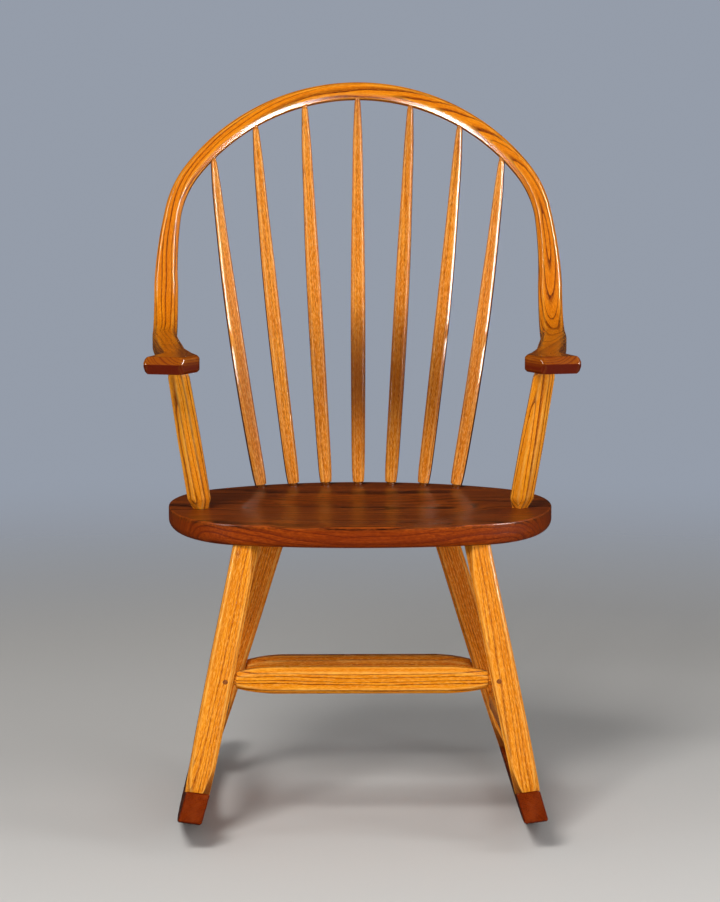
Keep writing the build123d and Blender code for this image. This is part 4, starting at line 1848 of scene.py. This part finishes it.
    def pieces(self) -> Iterator[Finished]:
        """Makes the whole bent piece, from one hand-rest over the crown to the other.

        Yields:
            Each piece, with its finish.
        """
        half = [*self.hoop_stations(), *self.bend_stations()]
        half += [*self.arm_stations(), *self.rest_stations()]
        points = np.array([station.origin for station in half])
        spans = np.linalg.norm(np.diff(points, axis=0), axis=1)
        runs = [0.0, *np.cumsum(spans)]
        whole = [(Side.RIGHT, station, -run) for station, run in zip(half, runs)][::-1]
        whole += [(Side.LEFT, station, run) for station, run in zip(half, runs)][1:]
        loft = Loft(Cut(start=0.0, pith_across=0.0, pith_deep=0.0, sweep=self.sweep))
        for side, station, run in whole:
            axes = (side.place(station.out), side.place(station.back))
            looks = (station.section, run, station.tone, station.shading)
            loft.ring(side.place(station.origin), axes, *looks)
        yield loft.object("hoop_arm"), HOOP_OAK


# ---- Spindles ----


@dataclass
class Spindles(Assembly):
    """The seven fanned back spindles, each flat and bevelled between two round ends."""

    seat: Seat
    hoop: HoopArm
    count: int = 7
    gap: float = 0.051
    inset: float = 0.029
    fan: float = radians(15.3)
    bow: float = 0.011
    spread: float = 0.005
    neck: float = 0.005
    foot_radius: float = 0.0064
    top_radius: float = 0.0042
    into: float = 0.006
    shoulder: float = 0.0012
    thickness: Profile = Profile(((0.0, 0.014), (1.0, 0.009)))
    width: Profile = Profile(
        (
            *((0.0, 0.0175), (0.03, 0.020), (0.12, 0.0215), (0.4, 0.023), (0.6, 0.0215)),
            *((0.78, 0.0175), (0.9, 0.015), (0.96, 0.012), (1.0, 0.0095)),
        )
    )
    bevel_share: float = 0.3
    easing: float = 0.0006
    ring_count: int = 64
    # painted shade in the round necks at the seat and at the hoop, where the shoulders and the
    # holes shadow them
    foot_shaded_tone: float = 0.2
    top_shaded_tone: float = 0.6
    tones: tuple[float, ...] = (0.94, 1.0, 1.0, 1.0, 0.86, 0.94, 0.96)
    # how much darker each spindle gets along shade_run, most over its lower third and again towards
    # the top
    shades: tuple[float, ...] = (0.3, 0.16, 0.35, 0.72, 0.55, 0.5, 0.24)
    shade_run: Profile = Profile(
        (
            *((0.0, 0.2), (0.08, 0.45), (0.26, 1.0), (0.38, 0.8)),
            *((0.52, 0.15), (0.7, 0.0), (1.0, 0.5)),
        )
    )
    # painted shade on each spindle's side faces, which turn away from the lamps
    shading: PaintedShade = PaintedShade(sides=0.85)
    log_step: float = 0.9  # how much further along the log each is cut
    pith_across: float = 0.02  # to one side and the other by turns
    pith_deep: tuple[float, float] = (0.016, 0.004)  # of the first, and more for each
    runout: tuple[float, float] = (0.01, 0.008)

    def point(self, offset: int, share: float) -> Array:
        """The middle of a spindle.

        Args:
            offset: How many spindles it is from the middle one, towards +X.
            share: 0 at the seat and 1 at the hoop's inner face.

        Returns:
            The point.
        """
        base_x = offset * self.gap
        base = np.array((base_x, self.seat.back_edge_y(base_x) - self.inset, self.seat.height))
        inner_face = self.hoop.crown_radius - self.hoop.hoop_width / 2
        tip = self.hoop.crown_center + on_circle(inner_face, offset * self.fan)
        bulge = np.array((self.spread * offset / (self.count // 2), -self.bow, 0.0))
        straight = base + (self.hoop.hoop_point(*tip) - base) * share
        return straight + bulge * (4 * share * (1 - share))

    def axes(self, offset: int, share: float, step: float = 0.001) -> tuple[Array, Array]:
        """The directions of a spindle's width and depth at a share of the way up.

        Args:
            offset: How many spindles it is from the middle one, towards +X.
            share: 0 at the seat and 1 at the hoop's inner face.
            step: The share to either side over which its run is taken.

        Returns:
            Both directions.
        """
        facing = np.arcsin(offset * self.gap / self.seat.back_radius)
        run = unit(self.point(offset, share + step) - self.point(offset, share - step))
        across = square_to(run, np.array((cos(facing), -sin(facing), 0.0)))
        return across, np.cross(run, across)

    def pieces(self) -> Iterator[Finished]:
        """Makes the spindles."""
        for index in range(self.count):
            yield self.spindle(index), SPINDLE_OAK

    def spindle(self, index: int) -> bpy.types.Object:
        """One spindle, with its round ends just inside the seat and the hoop.

        Args:
            index: Its number, from 0 at the sitter's right.

        Returns:
            The spindle.
        """
        offset = index - self.count // 2
        length = float(np.linalg.norm(self.point(offset, 1.0) - self.point(offset, 0.0)))
        neck, ease, into = (size / length for size in (self.neck, self.shoulder, self.into))
        foot = (RoundSection(self.foot_radius), self.foot_shaded_tone, PLAIN)
        top = (RoundSection(self.top_radius), self.top_shaded_tone, PLAIN)
        rings = [(share, *foot) for share in (-into, 0.0, neck - ease)]
        for place in steps(0.0, 1.0, self.ring_count):
            thick = self.thickness.at(place)
            bevels = (self.bevel_share * thick, None, self.easing)
            section = BevelledSection(self.width.at(place), thick, *bevels)
            tone = self.tones[index] - self.shades[index] * self.shade_run.at(place)
            rings.append((neck + place * (1 - 2 * neck), section, tone, self.shading))
        rings += [(share, *top) for share in (1 - neck + ease, 1.0, 1 + into)]
        deep, more = self.pith_deep
        pith = (self.pith_across * (-1) ** index, deep + more * index)
        loft = Loft(Cut(self.log_step * index, *pith, *self.runout))
        for share, section, *looks in rings:
            axes = self.axes(offset, share)
            loft.ring(self.point(offset, share), axes, section, share * length, *looks)
        return loft.object(f"spindle_{index + 1}")


# ---- Studio ----


class Role(Enum):
    """What a lamp is for."""

    LIGHT = "light"
    SHINE = "shine"


def look(thing: bpy.types.Object, place: Array, direction: Array) -> None:
    """Puts a lamp or a camera at a place, looking in a direction."""
    thing.location = Vector(place)
    thing.rotation_euler = Vector(direction).to_track_quat("-Z", "Y").to_euler()


@dataclass(frozen=True)
class Lamp:
    """A soft box that lights the chair evenly, or one that only shows in its lacquer."""

    name: str
    place: Triple
    size: tuple[float, float]
    power: float
    aim: Triple = (0.0, 0.0, 0.6)
    role: Role = Role.LIGHT
    spread: float = pi

    def hang(self) -> None:
        """Puts the lamp in the scene."""
        light = bpy.data.lights.new(self.name, "AREA")
        light.shape = "RECTANGLE"
        light.size, light.size_y = self.size
        light.energy = self.power
        light.spread = self.spread
        lamp = placed(self.name, light)
        lamp.visible_camera = False
        lamp.visible_diffuse = self.role is Role.LIGHT
        lamp.visible_glossy = self.role is Role.SHINE
        place = np.array(self.place)
        look(lamp, place, np.array(self.aim) - place)


def strip(name: str, x: float, y: float, width: float, power: float, aim: Triple) -> Lamp:
    """A tall narrow lamp that shows as a line in a bevel."""
    return Lamp(name, (x, y, 1.15), (width, 1.0), power, aim, Role.SHINE)


def panel(name: str, side: int) -> Lamp:
    """A low lamp that shows in the hoop's inner bevel on the other side."""
    place, aim = (0.175 * side, 0.06, 0.55), (-0.2 * side, 0.33, 1.0)
    return Lamp(name, place, (0.2, 0.13), 1.1, aim, Role.SHINE, radians(60))


@dataclass
class Studio:
    """A plain pale floor, a plain backdrop, soft lamps and the camera."""

    floor_radius: float = 4.0
    floor_sides: int = 128
    floor_colour: Colour = (0.62, 0.60, 0.57, 1.0)
    floor_roughness: float = 0.75
    floor_fade: tuple[float, float] = (1.3, 3.6)
    backdrop: Colour = (0.30, 0.335, 0.40, 1.0)
    ambient: Colour = (0.247, 0.2522, 0.26, 1.0)
    gloom: Colour = (0.03, 0.025, 0.02, 1.0)  # what the lacquer mirrors beside the lamps
    camera_place: Triple = (-0.0875, -6.27, 1.419)
    camera_turn: float = radians(0.8)
    camera_tilt: float = radians(7.9)
    camera_reach: float = 100.0
    focal_pixels: float = 4131.0
    image_height: int = 902
    sensor: float = 36.0
    lamps: tuple[Lamp, ...] = (
        Lamp("key soft box", (-1.2, -3.5, 3.2), (1.3, 1.3), 160.0),
        Lamp("front fill", (0.6, -4.5, 1.0), (2.0, 1.0), 42.0),
        Lamp("right fill", (3.0, -2.2, 1.0), (1.2, 1.2), 32.0),
        strip("right strip", 1.04, -0.585, 0.14, 42.0, (0.19, 0.235, 0.8)),
        strip("far right strip", 1.18, -0.333, 0.14, 42.0, (0.13, 0.245, 0.8)),
        strip("left strip", -1.01, -0.615, 0.1, 26.0, (-0.19, 0.235, 0.8)),
        panel("low left panel", -1),
        panel("low right panel", 1),
    )

    def build(self) -> None:
        """Makes the whole studio."""
        bpy.context.scene.view_settings.view_transform = "Standard"
        self.floor()
        self.world()
        for lamp in self.lamps:
            lamp.hang()
        self.camera()

    def floor(self) -> None:
        """A round floor that fades into the backdrop."""
        mesh = bpy.data.meshes.new("floor")
        size = {"radius": self.floor_radius, "segments": self.floor_sides}
        with edited(mesh) as work:
            bmesh.ops.create_circle(work, cap_ends=True, **size)
        material = bpy.data.materials.new("pale floor")
        nodes = fresh_nodes(material)
        place = nodes.add("ShaderNodeTexCoord").outputs["Object"]
        away = nodes.vector("LENGTH", place)["Value"]
        ray = nodes.add("ShaderNodeLightPath").outputs
        surface = nodes.named(
            nodes.add("ShaderNodeBsdfPrincipled"),
            Base_Color=nodes.mix(ray["Is Glossy Ray"], self.floor_colour, self.gloom),
            Roughness=self.floor_roughness,
            Alpha=nodes.remap(away, *self.floor_fade, 1.0, 0.0),
        )
        nodes.named(nodes.add("ShaderNodeOutputMaterial"), Surface=surface["BSDF"])
        mesh.materials.append(material)
        floor = placed("floor", mesh)

    def world(self) -> None:
        """Even light from all round, with a plain backdrop for what looks straight at it."""
        world = bpy.data.worlds.new("studio")
        bpy.context.scene.world = world
        nodes = fresh_nodes(world)
        ray = nodes.add("ShaderNodeLightPath").outputs
        colour = nodes.mix(ray["Is Glossy Ray"], self.ambient, self.gloom)
        colour = nodes.mix(ray["Is Camera Ray"], colour, self.backdrop)
        background = nodes.named(nodes.add("ShaderNodeBackground"), Color=colour)
        nodes.named(nodes.add("ShaderNodeOutputWorld"), Surface=background["Background"])

    def camera(self) -> None:
        """The camera, a long way in front and a little above the seat."""
        data = bpy.data.cameras.new("camera")
        data.sensor_width = self.sensor
        data.lens = self.focal_pixels / self.image_height * self.sensor
        data.clip_end = self.camera_reach
        camera = placed("camera", data)
        turn, tilt = self.camera_turn, self.camera_tilt
        ahead = (sin(turn) * cos(tilt), cos(turn) * cos(tilt), -sin(tilt))
        look(camera, np.array(self.camera_place), np.array(ahead))
        bpy.context.scene.camera = camera


def main() -> None:
    """Builds the studio and the chair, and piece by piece."""
    logging.basicConfig(level=logging.INFO, format="%(name)s: %(message)s")
    Studio().build()
    shop = Workshop()
    rockers = Rockers()
    legs = Legs(rockers)
    seat = Seat()
    hoop = HoopArm()
    groups = (rockers, legs, Stretchers(legs), seat, ArmPosts(), hoop, Spindles(seat, hoop))
    count = sum(group.build(shop) for group in groups)
    log.info("%d pieces made", count)


if __name__ == "__main__":
    main()
